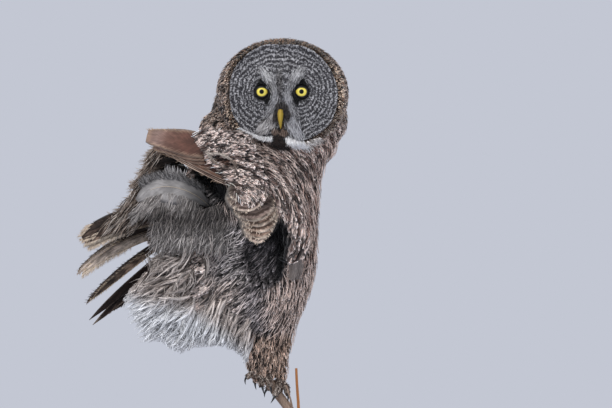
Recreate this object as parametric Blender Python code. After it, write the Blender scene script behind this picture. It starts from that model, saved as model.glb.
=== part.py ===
"""A great grey owl perched on a cut stem and facing the wind, life size, on a plain display stand.

Sizes are in millimetres and are turned to metres when a mesh is made. +Z is up. The face looks
along -Y, the breast points along +X and a little towards -Y, and the tail is blown towards -X.
The origin is on the floor, under the stem's grip. Right and left are the bird's own.
"""

import math
import random

import bmesh
import bpy
from mathutils import Matrix, Vector

MM = 0.001
GAP = 0.3
SEED = 7

# Body: a loft of ellipses up one axis, turned a little towards the face
BODY_YAW = math.radians(15.0)
BODY_AXIS = Vector((-18.0, 2.0, 0.0))
FORWARD = Vector((math.cos(BODY_YAW), -math.sin(BODY_YAW), 0.0))
RIGHT = Vector((-math.sin(BODY_YAW), -math.cos(BODY_YAW), 0.0))
UP = Vector((0.0, 0.0, 1.0))
NECK_BASE_Z = 448.0

# Each row: height, how far forward the middle is, half depth front to back, half width side to side
TORSO_ROWS = (
    (198.0, 6.0, 20.0, 20.0),
    (208.0, 4.0, 35.0, 32.0),
    (226.0, -4.0, 54.0, 46.0),
    (248.0, -7.0, 67.0, 56.0),
    (275.0, -7.0, 78.0, 64.0),
    (303.0, -6.0, 84.0, 70.0),
    (342.0, -7.0, 86.0, 76.0),
    (378.0, -7.0, 87.0, 80.0),
    (415.0, -3.0, 86.0, 78.0),
    (NECK_BASE_Z, 7.0, 86.0, 70.0),
)
NECK_ROWS = (
    (NECK_BASE_Z + GAP, 7.0, 86.0, 70.0),
    (460.0, 10.0, 88.0, 62.0),
    (475.0, 14.0, 87.0, 53.0),
    (492.0, 19.0, 84.0, 47.0),
    (512.0, 24.0, 74.0, 42.0),
    (530.0, 28.0, 56.0, 34.0),
    (542.0, 30.0, 34.0, 22.0),
)
BODY_SIDES = 24
# The loose plumage under the tail, blown back: a core that reaches half way out to the tips
VENT_CENTRE = Vector((-98.0, -8.0, 282.0))
VENT_HALF_SIZE = Vector((40.0, 46.0, 58.0))
RUMP_CENTRE = Vector((-103.0, 2.0, 391.0))
RUMP_HALF_SIZE = Vector((50.0, 50.0, 46.0))
RUMP_VANES = 14
RUMP_VANE_HALF_WIDTH = 14.0
RUMP_VANE_LENGTH = 60.0
RUMP_VANE_TILT = math.radians(6.0)
# The fan runs from a steep one at the wing to a flat one at the tail
RUMP_FAN = (math.radians(80.0), math.radians(-8.0))
RUMP_LIE = Vector((-0.74, 0.0, -0.5))
RUMP_ABOVE_TAIL = 9.0
VENT_LOCKS = 40
VENT_LOCK_LENGTH = 76.0
VENT_LOWEST_TIP = 196.0
VENT_LOCK_ROOTS = Vector((34.0, 40.0, 50.0))
VENT_LIE = Vector((-0.72, 0.0, -0.56))
VENT_FURTHEST_BACK = 38.0
SKIRT_LOCKS = 26
SKIRT_LOCK_LENGTH = 36.0
SKIRT_HEIGHTS = (212.0, 246.0)
SKIRT_ROOT_DEPTH = 6.0
SKIRT_LIE = Vector((-0.62, 0.0, -0.8))
SKIRT_LOWEST_TIP = 192.0
LOCK_HALF_WIDTH = 7.5

# Head: rings round the line of sight, from the nape to the middle of the face
HEAD_CENTRE = Vector((15.0, -14.0, 526.8))
HEAD_HALF_WIDTH = 88.0
HEAD_HALF_HEIGHT = 74.5
HEAD_TURN = math.radians(-3.0)
HEAD_SIDES = 30
# Each row: distance in front of the head's centre, share of the head's half width
HEAD_ROWS = (
    (-70.0, 0.30),
    (-58.0, 0.56),
    (-38.0, 0.79),
    (-14.0, 0.93),
    (12.0, 0.99),
    (32.0, 1.0),
    (46.0, 0.965),
    (55.0, 0.905),
    (55.5, 0.855),
    (50.0, 0.81),
    (46.0, 0.70),
    (43.0, 0.57),
    (41.0, 0.43),
    (41.0, 0.29),
    (42.0, 0.15),
)
NAPE_POLE = -74.0
FACE_POLE = 42.5
DISC_SHARE = 0.83
EYE_SPACING = 51.4
EYE_HEIGHT = 3.2
EYE_DISH_DEPTH = 7.0
EYE_DISH_SIZE = 19.0
BROW_RIDGE_HEIGHT = 15.0
BROW_RIDGE_WIDTH = 13.0
BROW_RIDGE_MIDDLE = 12.0
BROW_RIDGE_REACH = 26.0
EYE_RADIUS = 10.6
LID_OPENING_RADIUS = 7.4
LID_THICKNESS = 1.9
LID_FRONT = 41.0

# Bill: hooked, mostly hidden by the bristles round it
BILL_TOP = 18.0
BILL_LENGTH = 25.0
BILL_WIDTH = 8.6
BILL_OFFSET = -0.9
BILL_HOOK = 6.0
NOSTRIL_RADIUS = 1.1
NOSTRIL_FRONT = 53.0
NOSTRIL_DROP = 6.0

# Feathers
VANE_EDGE = 0.7
VANE_MIDDLE = 1.7
VANE_STATIONS = 5

# Tail: twelve feathers that the wind has parted into three bunches
TAIL_ROOT = Vector((-122.0, 6.0, 362.0))
TAIL_CORE_CENTRE = Vector((-138.0, 2.0, 350.0))
TAIL_CORE_HALF_SIZE = Vector((32.0, 12.0, 30.0))
TAIL_BUNCH_TIPS = (Vector((-253.0, -46.0, 337.0)), Vector((-256.0, -22.0, 296.0)),
                   Vector((-245.0, 6.0, 256.0)))
TAIL_PER_BUNCH = 4
TAIL_TIP_SPREAD = 6.5
TAIL_HALF_WIDTH = 12.5
TAIL_ARCH = 12.0
TAIL_TILT = math.radians(7.0)
TAIL_FACE = Vector((0.1, -1.0, 0.45))
# The roots of the three bunches lie one under the other, and so do the feathers in a bunch
TAIL_BUNCH_STEP = Vector((-3.0, 3.0, -12.0))
TAIL_FIRST_ROOT = Vector((0.0, -3.0, 8.0))
TAIL_ROOT_SPREAD = 1.5
TAIL_TIP_SHORTENING = 5.0
TAIL_TIP_LAP = 2.6

# Right wing, nearest the viewer: dropped at the wrist, with its long feathers lifted by the wind
# Each row: along X, height, half width across the arm, half thickness
RIGHT_ARM_ROWS = (
    (22.0, 349.0, 9.0, 5.0),
    (12.0, 372.0, 20.0, 8.0),
    (-12.0, 402.0, 27.0, 9.0),
    (-42.0, 424.0, 27.0, 9.0),
    (-75.0, 442.0, 21.0, 8.0),
    (-104.0, 457.0, 14.0, 5.0),
)
RIGHT_LONG_FEATHERS = 6
RIGHT_LONG_ROOT = Vector((-48.0, -76.0, 436.0))
RIGHT_LONG_TIP = Vector((-157.0, -40.0, 469.0))
RIGHT_LONG_HALF_WIDTH = 10.5
# The long feathers' roots and tips, from the lowest to the highest, off the two points above
RIGHT_LONG_ROOTS = (Vector((14.0, 0.0, -16.0)), Vector((-16.0, 4.0, 10.0)))
RIGHT_LONG_TIPS = (Vector((9.0, -5.0, -14.0)), Vector((0.0, 6.0, 11.0)))
RIGHT_LONG_SWEEPS = (4.0, -3.0)
RIGHT_LONG_TILT = math.radians(-10.0)
RIGHT_STACK_FEATHERS = 7
RIGHT_STACK_HALF_WIDTH = 17.0
RIGHT_STACK_TILT = math.radians(-12.0)
RIGHT_STACK_ROOT_LIFT = 5.0
RIGHT_STACK_TIP_LIFT = 13.0
RIGHT_STACK_STEP = 2.0
RIGHT_STACK_TIPS = (Vector((-57.0, 0.0, 404.0)), Vector((-38.0, 0.0, 372.0)), Vector((12.0, 0.0, 342.0)))
RIGHT_STACK_ROOTS = (Vector((-52.0, 0.0, 440.0)), Vector((-8.0, 0.0, 408.0)), Vector((20.0, 0.0, 368.0)))

# Left wing, on the far side: closed, its tip beside the tail
LEFT_ARM_ROWS = (
    (20.0, 434.0, 14.0, 5.0),
    (24.0, 405.0, 24.0, 8.0),
    (20.0, 370.0, 30.0, 9.0),
    (0.0, 341.0, 30.0, 9.0),
    (-36.0, 326.0, 26.0, 8.0),
    (-70.0, 318.0, 16.0, 5.0),
)
LEFT_LONG_FEATHERS = 8
LEFT_LONG_HALF_WIDTH = 11.5
LEFT_FIRST_TIP = Vector((-238.0, 44.0, 234.0))
LEFT_LAST_TIP = Vector((-150.0, 66.0, 290.0))
# Where along the arm the first long feather is rooted, and the share that the others span
LEFT_FIRST_ROOT = 0.95
LEFT_ROOT_SPAN = 0.5
LEFT_LONG_TILT = math.radians(10.0)

# Coverts on both wings
COVERT_ROWS = 2
COVERTS_PER_ROW = 5
COVERT_LENGTH = 34.0
COVERT_HALF_WIDTH = 11.0
COVERT_TILT = math.radians(9.0)
# They hang down and back, and turn a little with the arm
COVERT_DROP = Vector((-0.55, 0.0, -0.85))
COVERT_TURN = 0.35
COVERT_LIFT = 3.5
COVERT_TIP_LIFT = 5.0

# Legs, feathered to the toes, and the stem that they grip
STEM_RADIUS = 6.0
STEM_PATH = (Vector((-15.0, 2.0, 171.0)), Vector((-3.0, 1.0, 152.0)), Vector((12.0, 0.0, 132.5)),
             Vector((24.0, -1.0, 116.0)), Vector((33.0, -1.0, 98.0)), Vector((36.0, 0.0, 80.0)))
SHOOT_RADIUS = 2.1
SHOOT_PATH = (Vector((33.5, -1.0, 104.0)), Vector((34.5, -4.0, 121.0)), Vector((32.5, -5.0, 150.0)),
              Vector((31.5, -5.0, 172.0)))
TWIG_RADIUS = 1.4
TWIG_PATH = (Vector((27.0, -1.0, 112.0)), Vector((25.0, -8.0, 128.0)), Vector((18.5, -10.0, 150.0)))
# Each row: height, along X, along Y, half size along X, half size along Y
RIGHT_LEG_ROWS = (
    (222.0, -16.0, -14.0, 24.0, 20.0),
    (204.0, -17.0, -13.0, 21.0, 17.0),
    (188.0, -16.0, -11.0, 16.5, 14.0),
    (174.0, -15.0, -9.0, 13.5, 11.5),
    (165.0, -14.0, -8.0, 11.0, 9.0),
)
LEFT_LEG_ROWS = (
    (222.0, 9.0, 16.0, 20.0, 18.0),
    (204.0, 10.0, 14.0, 14.0, 15.0),
    (188.0, 12.0, 12.0, 9.5, 12.0),
    (172.0, 13.0, 9.0, 8.0, 10.0),
    (158.0, 12.0, 7.0, 8.5, 8.5),
)
LEG_SIDES = 14
TOE_RADIUS = 4.6
CLAW_RADIUS = 2.3
CLAW_LENGTH = 15.0
# Each toe: name, its middle, and its end before the claw, and where the claw's tip points
RIGHT_FOOT = Vector((-13.0, -6.0, 162.0))
RIGHT_TOES = (
    ("outer", Vector((-22.0, -11.0, 167.0)), Vector((-29.0, -13.0, 163.0)), Vector((0.35, 0.1, -1.0))),
    ("front", Vector((-15.0, -13.0, 160.0)), Vector((-13.5, -14.5, 153.0)), Vector((0.25, 0.3, -1.0))),
    ("inner", Vector((-6.0, -11.5, 160.0)), Vector((-3.5, -13.0, 153.0)), Vector((0.0, 0.3, -1.0))),
    ("hind", Vector((-19.0, 8.0, 164.0)), Vector((-21.0, 12.0, 157.0)), Vector((0.35, -0.1, -1.0))),
)
LEFT_FOOT = Vector((10.0, 5.0, 153.0))
LEFT_TOES = (
    ("outer", Vector((11.0, 12.0, 149.0)), Vector((10.0, 14.0, 142.0)), Vector((-0.2, -0.25, -1.0))),
    ("front", Vector((2.0, 12.0, 151.0)), Vector((-4.0, 13.0, 146.0)), Vector((0.1, -0.3, -1.0))),
    ("inner", Vector((9.0, -7.5, 146.5)), Vector((5.5, -10.5, 139.5)), Vector((-0.6, 0.3, -1.0))),
    ("hind", Vector((17.0, 1.0, 149.0)), Vector((19.5, -2.0, 142.0)), Vector((-0.3, 0.1, -1.0))),
)

# Display stand
BASE_RADIUS = 150.0
BASE_THICKNESS = 18.0
BASE_CENTRE = Vector((-35.0, 0.0, 0.0))
ROD_RADIUS = 5.0
ROD_LAP = 3.0


def body_point(forward, right, height):
    return BODY_AXIS + forward * FORWARD + right * RIGHT + height * UP


def material(name, colour, roughness, metallic=0.0):
    made = bpy.data.materials.new(name)
    made.use_nodes = True
    shader = made.node_tree.nodes["Principled BSDF"]
    shader.inputs["Base Color"].default_value = (*colour, 1.0)
    shader.inputs["Roughness"].default_value = roughness
    shader.inputs["Metallic"].default_value = metallic
    made.diffuse_color = (*colour, 1.0)
    return made


def clear_scene():
    for obj in list(bpy.data.objects):
        bpy.data.objects.remove(obj)


def new_object(name, mesh, finish, home):
    obj = bpy.data.objects.new(name, mesh)
    if finish is not None:
        obj.data.materials.append(finish)
    home.objects.link(obj)
    return obj


def closed_mesh(name, points, faces):
    """A mesh object's data from points in millimetres, with its faces turned outwards."""
    mesh = bpy.data.meshes.new(name)
    mesh.from_pydata([p * MM for p in points], [], faces)
    shape = bmesh.new()
    shape.from_mesh(mesh)
    bmesh.ops.recalc_face_normals(shape, faces=shape.faces)
    if shape.calc_volume(signed=True) < 0:
        bmesh.ops.reverse_faces(shape, faces=shape.faces)
    shape.to_mesh(mesh)
    shape.free()
    return mesh


def loft(name, rings, start_pole=None, end_pole=None):
    """A closed body through rings of equally many points, with a fan of triangles at each end."""
    sides = len(rings[0])
    points = [p for ring in rings for p in ring]
    faces = []
    for k in range(len(rings) - 1):
        for i in range(sides):
            a = k * sides + i
            b = k * sides + (i + 1) % sides
            faces.append((a, b, b + sides))
            faces.append((a, b + sides, a + sides))
    for ring_start, ring, pole in ((0, rings[0], start_pole), (len(points) - sides, rings[-1], end_pole)):
        middle = pole if pole is not None else sum(ring, Vector()) / sides
        points.append(middle)
        last = len(points) - 1
        for i in range(sides):
            faces.append((ring_start + i, ring_start + (i + 1) % sides, last))
    return closed_mesh(name, points, faces)


def ellipse(centre, axis_u, axis_v, sides, squareness=2.0):
    """Points round a centre. axis_u and axis_v are the half axes; squareness 2 is a true ellipse."""
    ring = []
    for i in range(sides):
        turn = math.tau * i / sides
        c, s = math.cos(turn), math.sin(turn)
        u = math.copysign(abs(c) ** (2.0 / squareness), c)
        v = math.copysign(abs(s) ** (2.0 / squareness), s)
        ring.append(centre + u * axis_u + v * axis_v)
    return ring


def limb(name, path, halves, side_hint, sides=10):
    """A closed limb along a path. halves holds the half size along side_hint and across it."""
    rings = []
    for k, centre in enumerate(path):
        before = path[max(k - 1, 0)]
        after = path[min(k + 1, len(path) - 1)]
        along = (after - before).normalized()
        across = (side_hint - side_hint.dot(along) * along).normalized()
        up = along.cross(across)
        rings.append(ellipse(centre, across * halves[k][0], up * halves[k][1], sides))
    return loft(name, rings)


def curve_through(points, share):
    """A point on the smooth curve through evenly spaced points, at a share from 0 to 1."""
    spans = len(points) - 1
    at = min(max(share, 0.0), 1.0) * spans
    k = min(int(at), spans - 1)
    t = at - k
    p1, p2 = points[k], points[k + 1]
    p0 = points[k - 1] if k > 0 else p1 + (p1 - p2)
    p3 = points[k + 2] if k + 2 <= spans else p2 + (p2 - p1)
    return 0.5 * (
        2 * p1 + (p2 - p0) * t + (2 * p0 - 5 * p1 + 4 * p2 - p3) * t**2 + (3 * p1 - p0 - 3 * p2 + p3) * t**3
    )


def vane_width(share, point):
    """A vane's half width along its length, from the quill to the tip. point 0 is round, 1 sharp."""
    quill = 0.22 + 0.78 * min(share / 0.35, 1.0) ** 0.7
    rounded = math.sqrt(max(1.0 - max(share - 0.72, 0.0) ** 2 / 0.0784, 0.0))
    sharp = 1.0 - max(share - 0.45, 0.0) / 0.55
    return quill * ((1 - point) * rounded + point * sharp)


def vane(name, root, tip, half_width, face, bow=0.0, sweep=0.0, tilt=0.0, point=0.2, stations=VANE_STATIONS):
    """One feather: a flat vane, thicker along its shaft, closed, with both faces split alike.

    face is the way its upper side looks. bow lifts its middle that way, sweep moves it sideways,
    and tilt turns it about its shaft, in radians, so that neighbours lap like shingles.
    """
    along = (tip - root).normalized()
    normal = (face - face.dot(along) * along).normalized()
    side = along.cross(normal)
    middle = (root + tip) / 2 + normal * bow * 2 + side * sweep * 2
    points = []
    for k in range(stations):
        s = k / (stations - 1)
        centre = (1 - s) ** 2 * root + 2 * s * (1 - s) * middle + s**2 * tip
        heading = (2 * (1 - s) * (middle - root) + 2 * s * (tip - middle)).normalized()
        up = (normal - normal.dot(heading) * heading).normalized()
        across = heading.cross(up)
        turned_across = across * math.cos(tilt) + up * math.sin(tilt)
        turned_up = up * math.cos(tilt) - across * math.sin(tilt)
        half = max(half_width * vane_width(s, point), 0.5)
        edge = turned_up * VANE_EDGE / 2 * (1.0 if s < 0.99 else 0.6)
        crown = turned_up * VANE_MIDDLE / 2 * (1.25 - 0.65 * s)
        droop = turned_up * half * 0.06
        points += [
            centre - turned_across * half - droop + edge,
            centre + crown,
            centre + turned_across * half - droop + edge,
            centre + turned_across * half - droop - edge,
            centre - crown,
            centre - turned_across * half - droop - edge,
        ]
    faces = []
    for k in range(stations - 1):
        a, b = 6 * k, 6 * (k + 1)
        faces += [(a, a + 1, b + 1), (a, b + 1, b), (a + 1, a + 2, b + 2), (a + 1, b + 2, b + 1)]
        faces += [(a + 5, b + 4, a + 4), (a + 5, b + 5, b + 4), (a + 4, b + 3, a + 3), (a + 4, b + 4, b + 3)]
        faces += [(a + 2, a + 3, b + 3), (a + 2, b + 3, b + 2), (a + 5, a, b), (a + 5, b, b + 5)]
    for k, flip in ((0, False), (stations - 1, True)):
        a = 6 * k
        cap = [(a, a + 5, a + 1), (a + 5, a + 4, a + 1), (a + 1, a + 4, a + 2), (a + 4, a + 3, a + 2)]
        faces += [tuple(reversed(f)) for f in cap] if flip else cap
    return closed_mesh(name, points, faces)


def lock(name, root, tip, half_width, face, bend, stations=4):
    """One tapered lock of loose plumage: four-sided, wide and flat, with its tip bent."""
    along = (tip - root).normalized()
    normal = (face - face.dot(along) * along).normalized()
    middle = (root + tip) / 2 + bend
    rings = []
    for k in range(stations):
        s = k / stations
        centre = (1 - s) ** 2 * root + 2 * s * (1 - s) * middle + s**2 * tip
        heading = (2 * (1 - s) * (middle - root) + 2 * s * (tip - middle)).normalized()
        up = (normal - normal.dot(heading) * heading).normalized()
        across = heading.cross(up)
        half = half_width * (0.55 + 1.1 * s - 1.35 * s**2)
        thick = 2.3 - 1.2 * s
        rings.append([centre + across * half, centre + up * thick,
                      centre - across * half, centre - up * thick])
    return loft(name, rings, end_pole=tip)


def applied(obj):
    """Replaces an object's mesh by its evaluated one and drops the modifiers."""
    bpy.context.view_layer.update()
    graph = bpy.context.evaluated_depsgraph_get()
    mesh = bpy.data.meshes.new_from_object(obj.evaluated_get(graph))
    obj.modifiers.clear()
    obj.data = mesh
    return obj


def largest_only(obj):
    """Keeps only the largest closed surface of an object's mesh."""
    shape = bmesh.new()
    shape.from_mesh(obj.data)
    left = set(shape.verts)
    islands = []
    while left:
        todo = [left.pop()]
        island = set(todo)
        while todo:
            for edge in todo.pop().link_edges:
                for vert in edge.verts:
                    if vert in left:
                        left.discard(vert)
                        island.add(vert)
                        todo.append(vert)
        islands.append(island)
    islands.sort(key=lambda found: -max_spread(found))
    for island in islands[1:]:
        bmesh.ops.delete(shape, geom=list(island), context="VERTS")
    shape.to_mesh(obj.data)
    shape.free()
    return len(islands) - 1


def max_spread(verts):
    spans = [max(v.co[i] for v in verts) - min(v.co[i] for v in verts) for i in range(3)]
    return spans[0] * spans[1] + spans[1] * spans[2] + spans[0] * spans[2]


def fused(name, core, pieces, finish, home):
    """One closed body from a core mesh and piece meshes, all joined by one Boolean union."""
    body = new_object(name, core, finish, home)
    group = bpy.data.collections.new(name + "_pieces")
    bpy.context.scene.collection.children.link(group)
    for k, piece in enumerate(pieces):
        new_object(f"{name}_piece_{k}", piece, None, group)
    union = body.modifiers.new("join", "BOOLEAN")
    union.operation = "UNION"
    union.solver = "MANIFOLD"
    union.operand_type = "COLLECTION"
    union.collection = group
    applied(body)
    for obj in list(group.objects):
        bpy.data.objects.remove(obj)
    bpy.data.collections.remove(group)
    return body


def swollen(mesh, by):
    """A copy of a mesh pushed out along its normals, to cut what touches it back by a gap."""
    copy = mesh.copy()
    shape = bmesh.new()
    shape.from_mesh(copy)
    shape.normal_update()
    moves = [(v, v.normal * by * MM * v.calc_shell_factor()) for v in shape.verts]
    for vert, move in moves:
        vert.co += move
    shape.to_mesh(copy)
    shape.free()
    return copy


def cut_back(obj, *meshes):
    """Cuts closed meshes from an object, which then keeps its largest surface."""
    for mesh in meshes:
        tool = bpy.data.objects.new("tool", mesh)
        bpy.context.scene.collection.objects.link(tool)
        cut = obj.modifiers.new("cut", "BOOLEAN")
        cut.operation = "DIFFERENCE"
        cut.solver = "MANIFOLD"
        cut.object = tool
        applied(obj)
        bpy.data.objects.remove(tool)
    largest_only(obj)
    return obj


def body_loft(name, rows):
    rings = []
    for height, forward, half_depth, half_width in rows:
        centre = body_point(forward, 0.0, height)
        rings.append(ellipse(centre, FORWARD * half_depth, RIGHT * half_width, BODY_SIDES))
    return loft(name, rings)


# Head, with its face looking along -Y before it is turned
HEAD_FRAME = Matrix.Translation(HEAD_CENTRE) @ Matrix.Rotation(HEAD_TURN, 4, "Z")


def head_point(across, front, height):
    """A point from the head's centre: across towards +X, front towards the viewer, and height up."""
    return HEAD_FRAME @ Vector((across, -front, height))


def face_relief(across, height):
    """How far the face stands in front of its plain rings: a brow ridge, and a dish at each eye."""
    ridge_ends = math.exp(-(((height - BROW_RIDGE_MIDDLE) / BROW_RIDGE_REACH) ** 4))
    ridge = BROW_RIDGE_HEIGHT * math.exp(-((across / BROW_RIDGE_WIDTH) ** 2)) * ridge_ends
    from_eye = math.hypot(abs(across) - EYE_SPACING / 2, height - EYE_HEIGHT)
    return ridge - EYE_DISH_DEPTH * math.exp(-((from_eye / EYE_DISH_SIZE) ** 2))


def head_mesh():
    rings = []
    for front, share in HEAD_ROWS:
        ring = []
        for i in range(HEAD_SIDES):
            turn = math.tau * i / HEAD_SIDES
            across = HEAD_HALF_WIDTH * share * math.cos(turn)
            height = HEAD_HALF_HEIGHT * share * math.sin(turn)
            relief = face_relief(across, height) if front > 0 and share < DISC_SHARE else 0.0
            ring.append(head_point(across, front + relief, height))
        rings.append(ring)
    face = head_point(0.0, FACE_POLE + face_relief(0.0, 0.0), 0.0)
    return loft("head", rings, head_point(0.0, NAPE_POLE, 0.0), face)


def eye_centre(side):
    back = math.sqrt(EYE_RADIUS**2 - LID_OPENING_RADIUS**2)
    return head_point(side * EYE_SPACING / 2, LID_FRONT - back, EYE_HEIGHT)


def ball(centre, radius, segments=16, rings=8):
    shape = bmesh.new()
    bmesh.ops.create_uvsphere(shape, u_segments=segments, v_segments=rings, radius=radius * MM)
    mesh = bpy.data.meshes.new("ball")
    shape.to_mesh(mesh)
    shape.free()
    mesh.transform(Matrix.Translation(centre * MM) @ Matrix.Rotation(math.radians(90), 4, "X"))
    return mesh


def lid_mesh(side):
    """The swollen rim of the two lids, as a ring that stands on the face."""
    rings = []
    steps = 16
    for i in range(steps):
        turn = math.tau * i / steps
        out = Vector((math.cos(turn), 0.0, math.sin(turn)))
        radius = LID_OPENING_RADIUS + LID_THICKNESS * 0.7
        middle = Vector((side * EYE_SPACING / 2, -LID_FRONT, EYE_HEIGHT)) + out * radius
        ring = []
        for j in range(6):
            roll = math.tau * j / 6
            offset = out * math.cos(roll) + Vector((0.0, 1.0, 0.0)) * math.sin(roll)
            ring.append(HEAD_FRAME @ (middle + offset * LID_THICKNESS))
        rings.append(ring)
    points = [p for ring in rings for p in ring]
    faces = []
    for i in range(steps):
        for j in range(6):
            a, b = i * 6 + j, i * 6 + (j + 1) % 6
            c, d = ((i + 1) % steps) * 6 + (j + 1) % 6, ((i + 1) % steps) * 6 + j
            faces += [(a, b, c), (a, c, d)]
    return closed_mesh("lid", points, faces)


def bill_mesh(lower):
    """The upper bill, hooked over the tip of the shorter lower one."""
    rings = []
    steps = 8
    length = BILL_LENGTH * (0.62 if lower else 1.0)
    for k in range(steps):
        s = k / (steps - 1)
        drop = -BILL_TOP - 2.0 - length * s
        if lower:
            front = 45.5 - 1.5 * s
            half_w = BILL_WIDTH / 2 * (0.8 - 0.45 * s)
            half_d = 4.4 - 1.8 * s
        else:
            front = 49.0 + BILL_HOOK * math.sin(math.pi * min(s * 0.75 + 0.1, 1.0)) - 3.0 * s**2
            half_w = BILL_WIDTH / 2 * (1.0 - 0.86 * s**1.5)
            half_d = 0.8 + 7.7 * (1.0 - s) ** 0.7
        centre = head_point(BILL_OFFSET, front, drop)
        rings.append(ellipse(centre, Vector((half_w, 0, 0)), Vector((0, half_d, 0)), 12))
    return loft("bill", rings)


def make_head(finish, home):
    base = head_mesh()
    head = fused("head", base, [lid_mesh(-1), lid_mesh(1)], finish["coat"], home)
    for side, name in ((-1, "right_eye"), (1, "left_eye")):
        eye = new_object(name, ball(eye_centre(side), EYE_RADIUS), finish["eye"], home)
        cut_back(head, ball(eye_centre(side), EYE_RADIUS + GAP))
        eye.data.shade_smooth()
    upper = new_object("upper_bill", bill_mesh(False), finish["bill"], home)
    lower = new_object("lower_bill", bill_mesh(True), finish["bill"], home)
    cut_back(lower, swollen(upper.data, GAP))
    for side in (-1, 1):
        across = BILL_OFFSET + side * BILL_WIDTH * 0.45
        nostril = head_point(across, NOSTRIL_FRONT, -BILL_TOP - NOSTRIL_DROP)
        cut_back(upper, ball(nostril, NOSTRIL_RADIUS, 8, 6))
    cut_back(head, swollen(bill_mesh(False), GAP), swollen(bill_mesh(True), GAP))
    return head


def row_at(rows, height):
    """The row of a body loft at a height, blended from its neighbours."""
    height = min(max(height, rows[0][0]), rows[-1][0])
    for low, high in zip(rows, rows[1:]):
        if height <= high[0]:
            t = (height - low[0]) / (high[0] - low[0])
            return [a + (b - a) * t for a, b in zip(low, high)]
    return list(rows[-1])


def torso_side(along_x, height, side):
    """Where the torso's surface lies along Y at a place seen from the side. side is 1 right, -1 left."""
    height, forward, half_depth, half_width = row_at(TORSO_ROWS, height)
    best = None
    for k in range(91):
        turn = math.radians(k * 2 - 90)
        place = body_point(forward + half_depth * math.sin(turn), side * half_width * math.cos(turn), height)
        if best is None or abs(place.x - along_x) < abs(best.x - along_x):
            best = place
    return best.y


def on_side(along_x, height, side, lift):
    """A point that stands off the torso's right or left surface by lift."""
    return Vector((along_x, torso_side(along_x, height, side) - side * lift, height))


def arm_path(rows, side):
    path = [on_side(x, z, side, thick * 0.5) for x, z, _, thick in rows]
    halves = [(wide, thick) for _, _, wide, thick in rows]
    return path, halves


def arm_mesh(name, rows, side):
    path, halves = arm_path(rows, side)
    rings = []
    for k, centre in enumerate(path):
        along = (path[min(k + 1, len(path) - 1)] - path[max(k - 1, 0)]).normalized()
        outward = Vector((0.0, -side, 0.0))
        outward = (outward - outward.dot(along) * along).normalized()
        across = along.cross(outward)
        rings.append(ellipse(centre, across * halves[k][0], outward * halves[k][1], 12))
    return loft(name, rings)


def covert_vanes(rows, side, draw):
    """Two rows of shorter feathers over the arm, their tips towards the long feathers."""
    path, halves = arm_path(rows, side)
    pieces = []
    outward = Vector((0.0, -side, 0.0))
    for row in range(COVERT_ROWS):
        for k in range(COVERTS_PER_ROW):
            share = (k + 0.7 + 0.3 * row) / (COVERTS_PER_ROW + 0.4)
            spot = curve_through(path, share)
            ahead = curve_through(path, min(share + 0.05, 1.0))
            along = (ahead - curve_through(path, share - 0.05)).normalized()
            wide = halves[min(int(share * len(halves)), len(halves) - 1)][0]
            drop = (COVERT_DROP + along * COVERT_TURN).normalized()
            root = spot + outward * COVERT_LIFT - drop * wide * (0.25 + 0.45 * row)
            length = COVERT_LENGTH * draw.uniform(0.9, 1.1)
            tip = root + drop * length + outward * (COVERT_TIP_LIFT + 1.2 * (k % 2))
            pieces.append(vane("covert", root, tip, COVERT_HALF_WIDTH, outward, 1.5, 0.0,
                               COVERT_TILT * side, 0.1, 4))
    return pieces


def right_wing_pieces(draw):
    pieces = []
    outward = Vector((0.0, -1.0, 0.0))
    for k in range(RIGHT_LONG_FEATHERS):
        s = k / (RIGHT_LONG_FEATHERS - 1)
        root = RIGHT_LONG_ROOT + RIGHT_LONG_ROOTS[0].lerp(RIGHT_LONG_ROOTS[1], s)
        tip = RIGHT_LONG_TIP + RIGHT_LONG_TIPS[0].lerp(RIGHT_LONG_TIPS[1], s)
        tip.x += draw.uniform(-2, 2)
        sweep = RIGHT_LONG_SWEEPS[0] + (RIGHT_LONG_SWEEPS[1] - RIGHT_LONG_SWEEPS[0]) * s
        pieces.append(vane("long", root, tip, RIGHT_LONG_HALF_WIDTH, outward, -2.0, sweep,
                           RIGHT_LONG_TILT, 0.05))
    for k in range(RIGHT_STACK_FEATHERS):
        s = k / (RIGHT_STACK_FEATHERS - 1)
        tip = curve_through(RIGHT_STACK_TIPS, s)
        root = curve_through(RIGHT_STACK_ROOTS, s)
        root.y = torso_side(root.x, root.z, 1) - RIGHT_STACK_ROOT_LIFT
        tip.y = torso_side(tip.x, tip.z, 1) - RIGHT_STACK_TIP_LIFT - RIGHT_STACK_STEP * (k % 2)
        pieces.append(vane("stack", root, tip, RIGHT_STACK_HALF_WIDTH, outward, 4.0, 3.0,
                           RIGHT_STACK_TILT, 0.0))
    return pieces + covert_vanes(RIGHT_ARM_ROWS, 1, draw)


def left_wing_pieces(draw):
    pieces = []
    outward = Vector((0.0, 1.0, 0.0))
    path, _ = arm_path(LEFT_ARM_ROWS, -1)
    for k in range(LEFT_LONG_FEATHERS):
        s = k / (LEFT_LONG_FEATHERS - 1)
        root = curve_through(path, LEFT_FIRST_ROOT - LEFT_ROOT_SPAN * s) + outward * 2.0
        tip = LEFT_FIRST_TIP.lerp(LEFT_LAST_TIP, s) + Vector((draw.uniform(-4, 4), 0.0, draw.uniform(-2, 2)))
        pieces.append(vane("long", root, tip, LEFT_LONG_HALF_WIDTH, outward, 3.0, 0.0, LEFT_LONG_TILT, 0.45))
    return pieces + covert_vanes(LEFT_ARM_ROWS, -1, draw)


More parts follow.
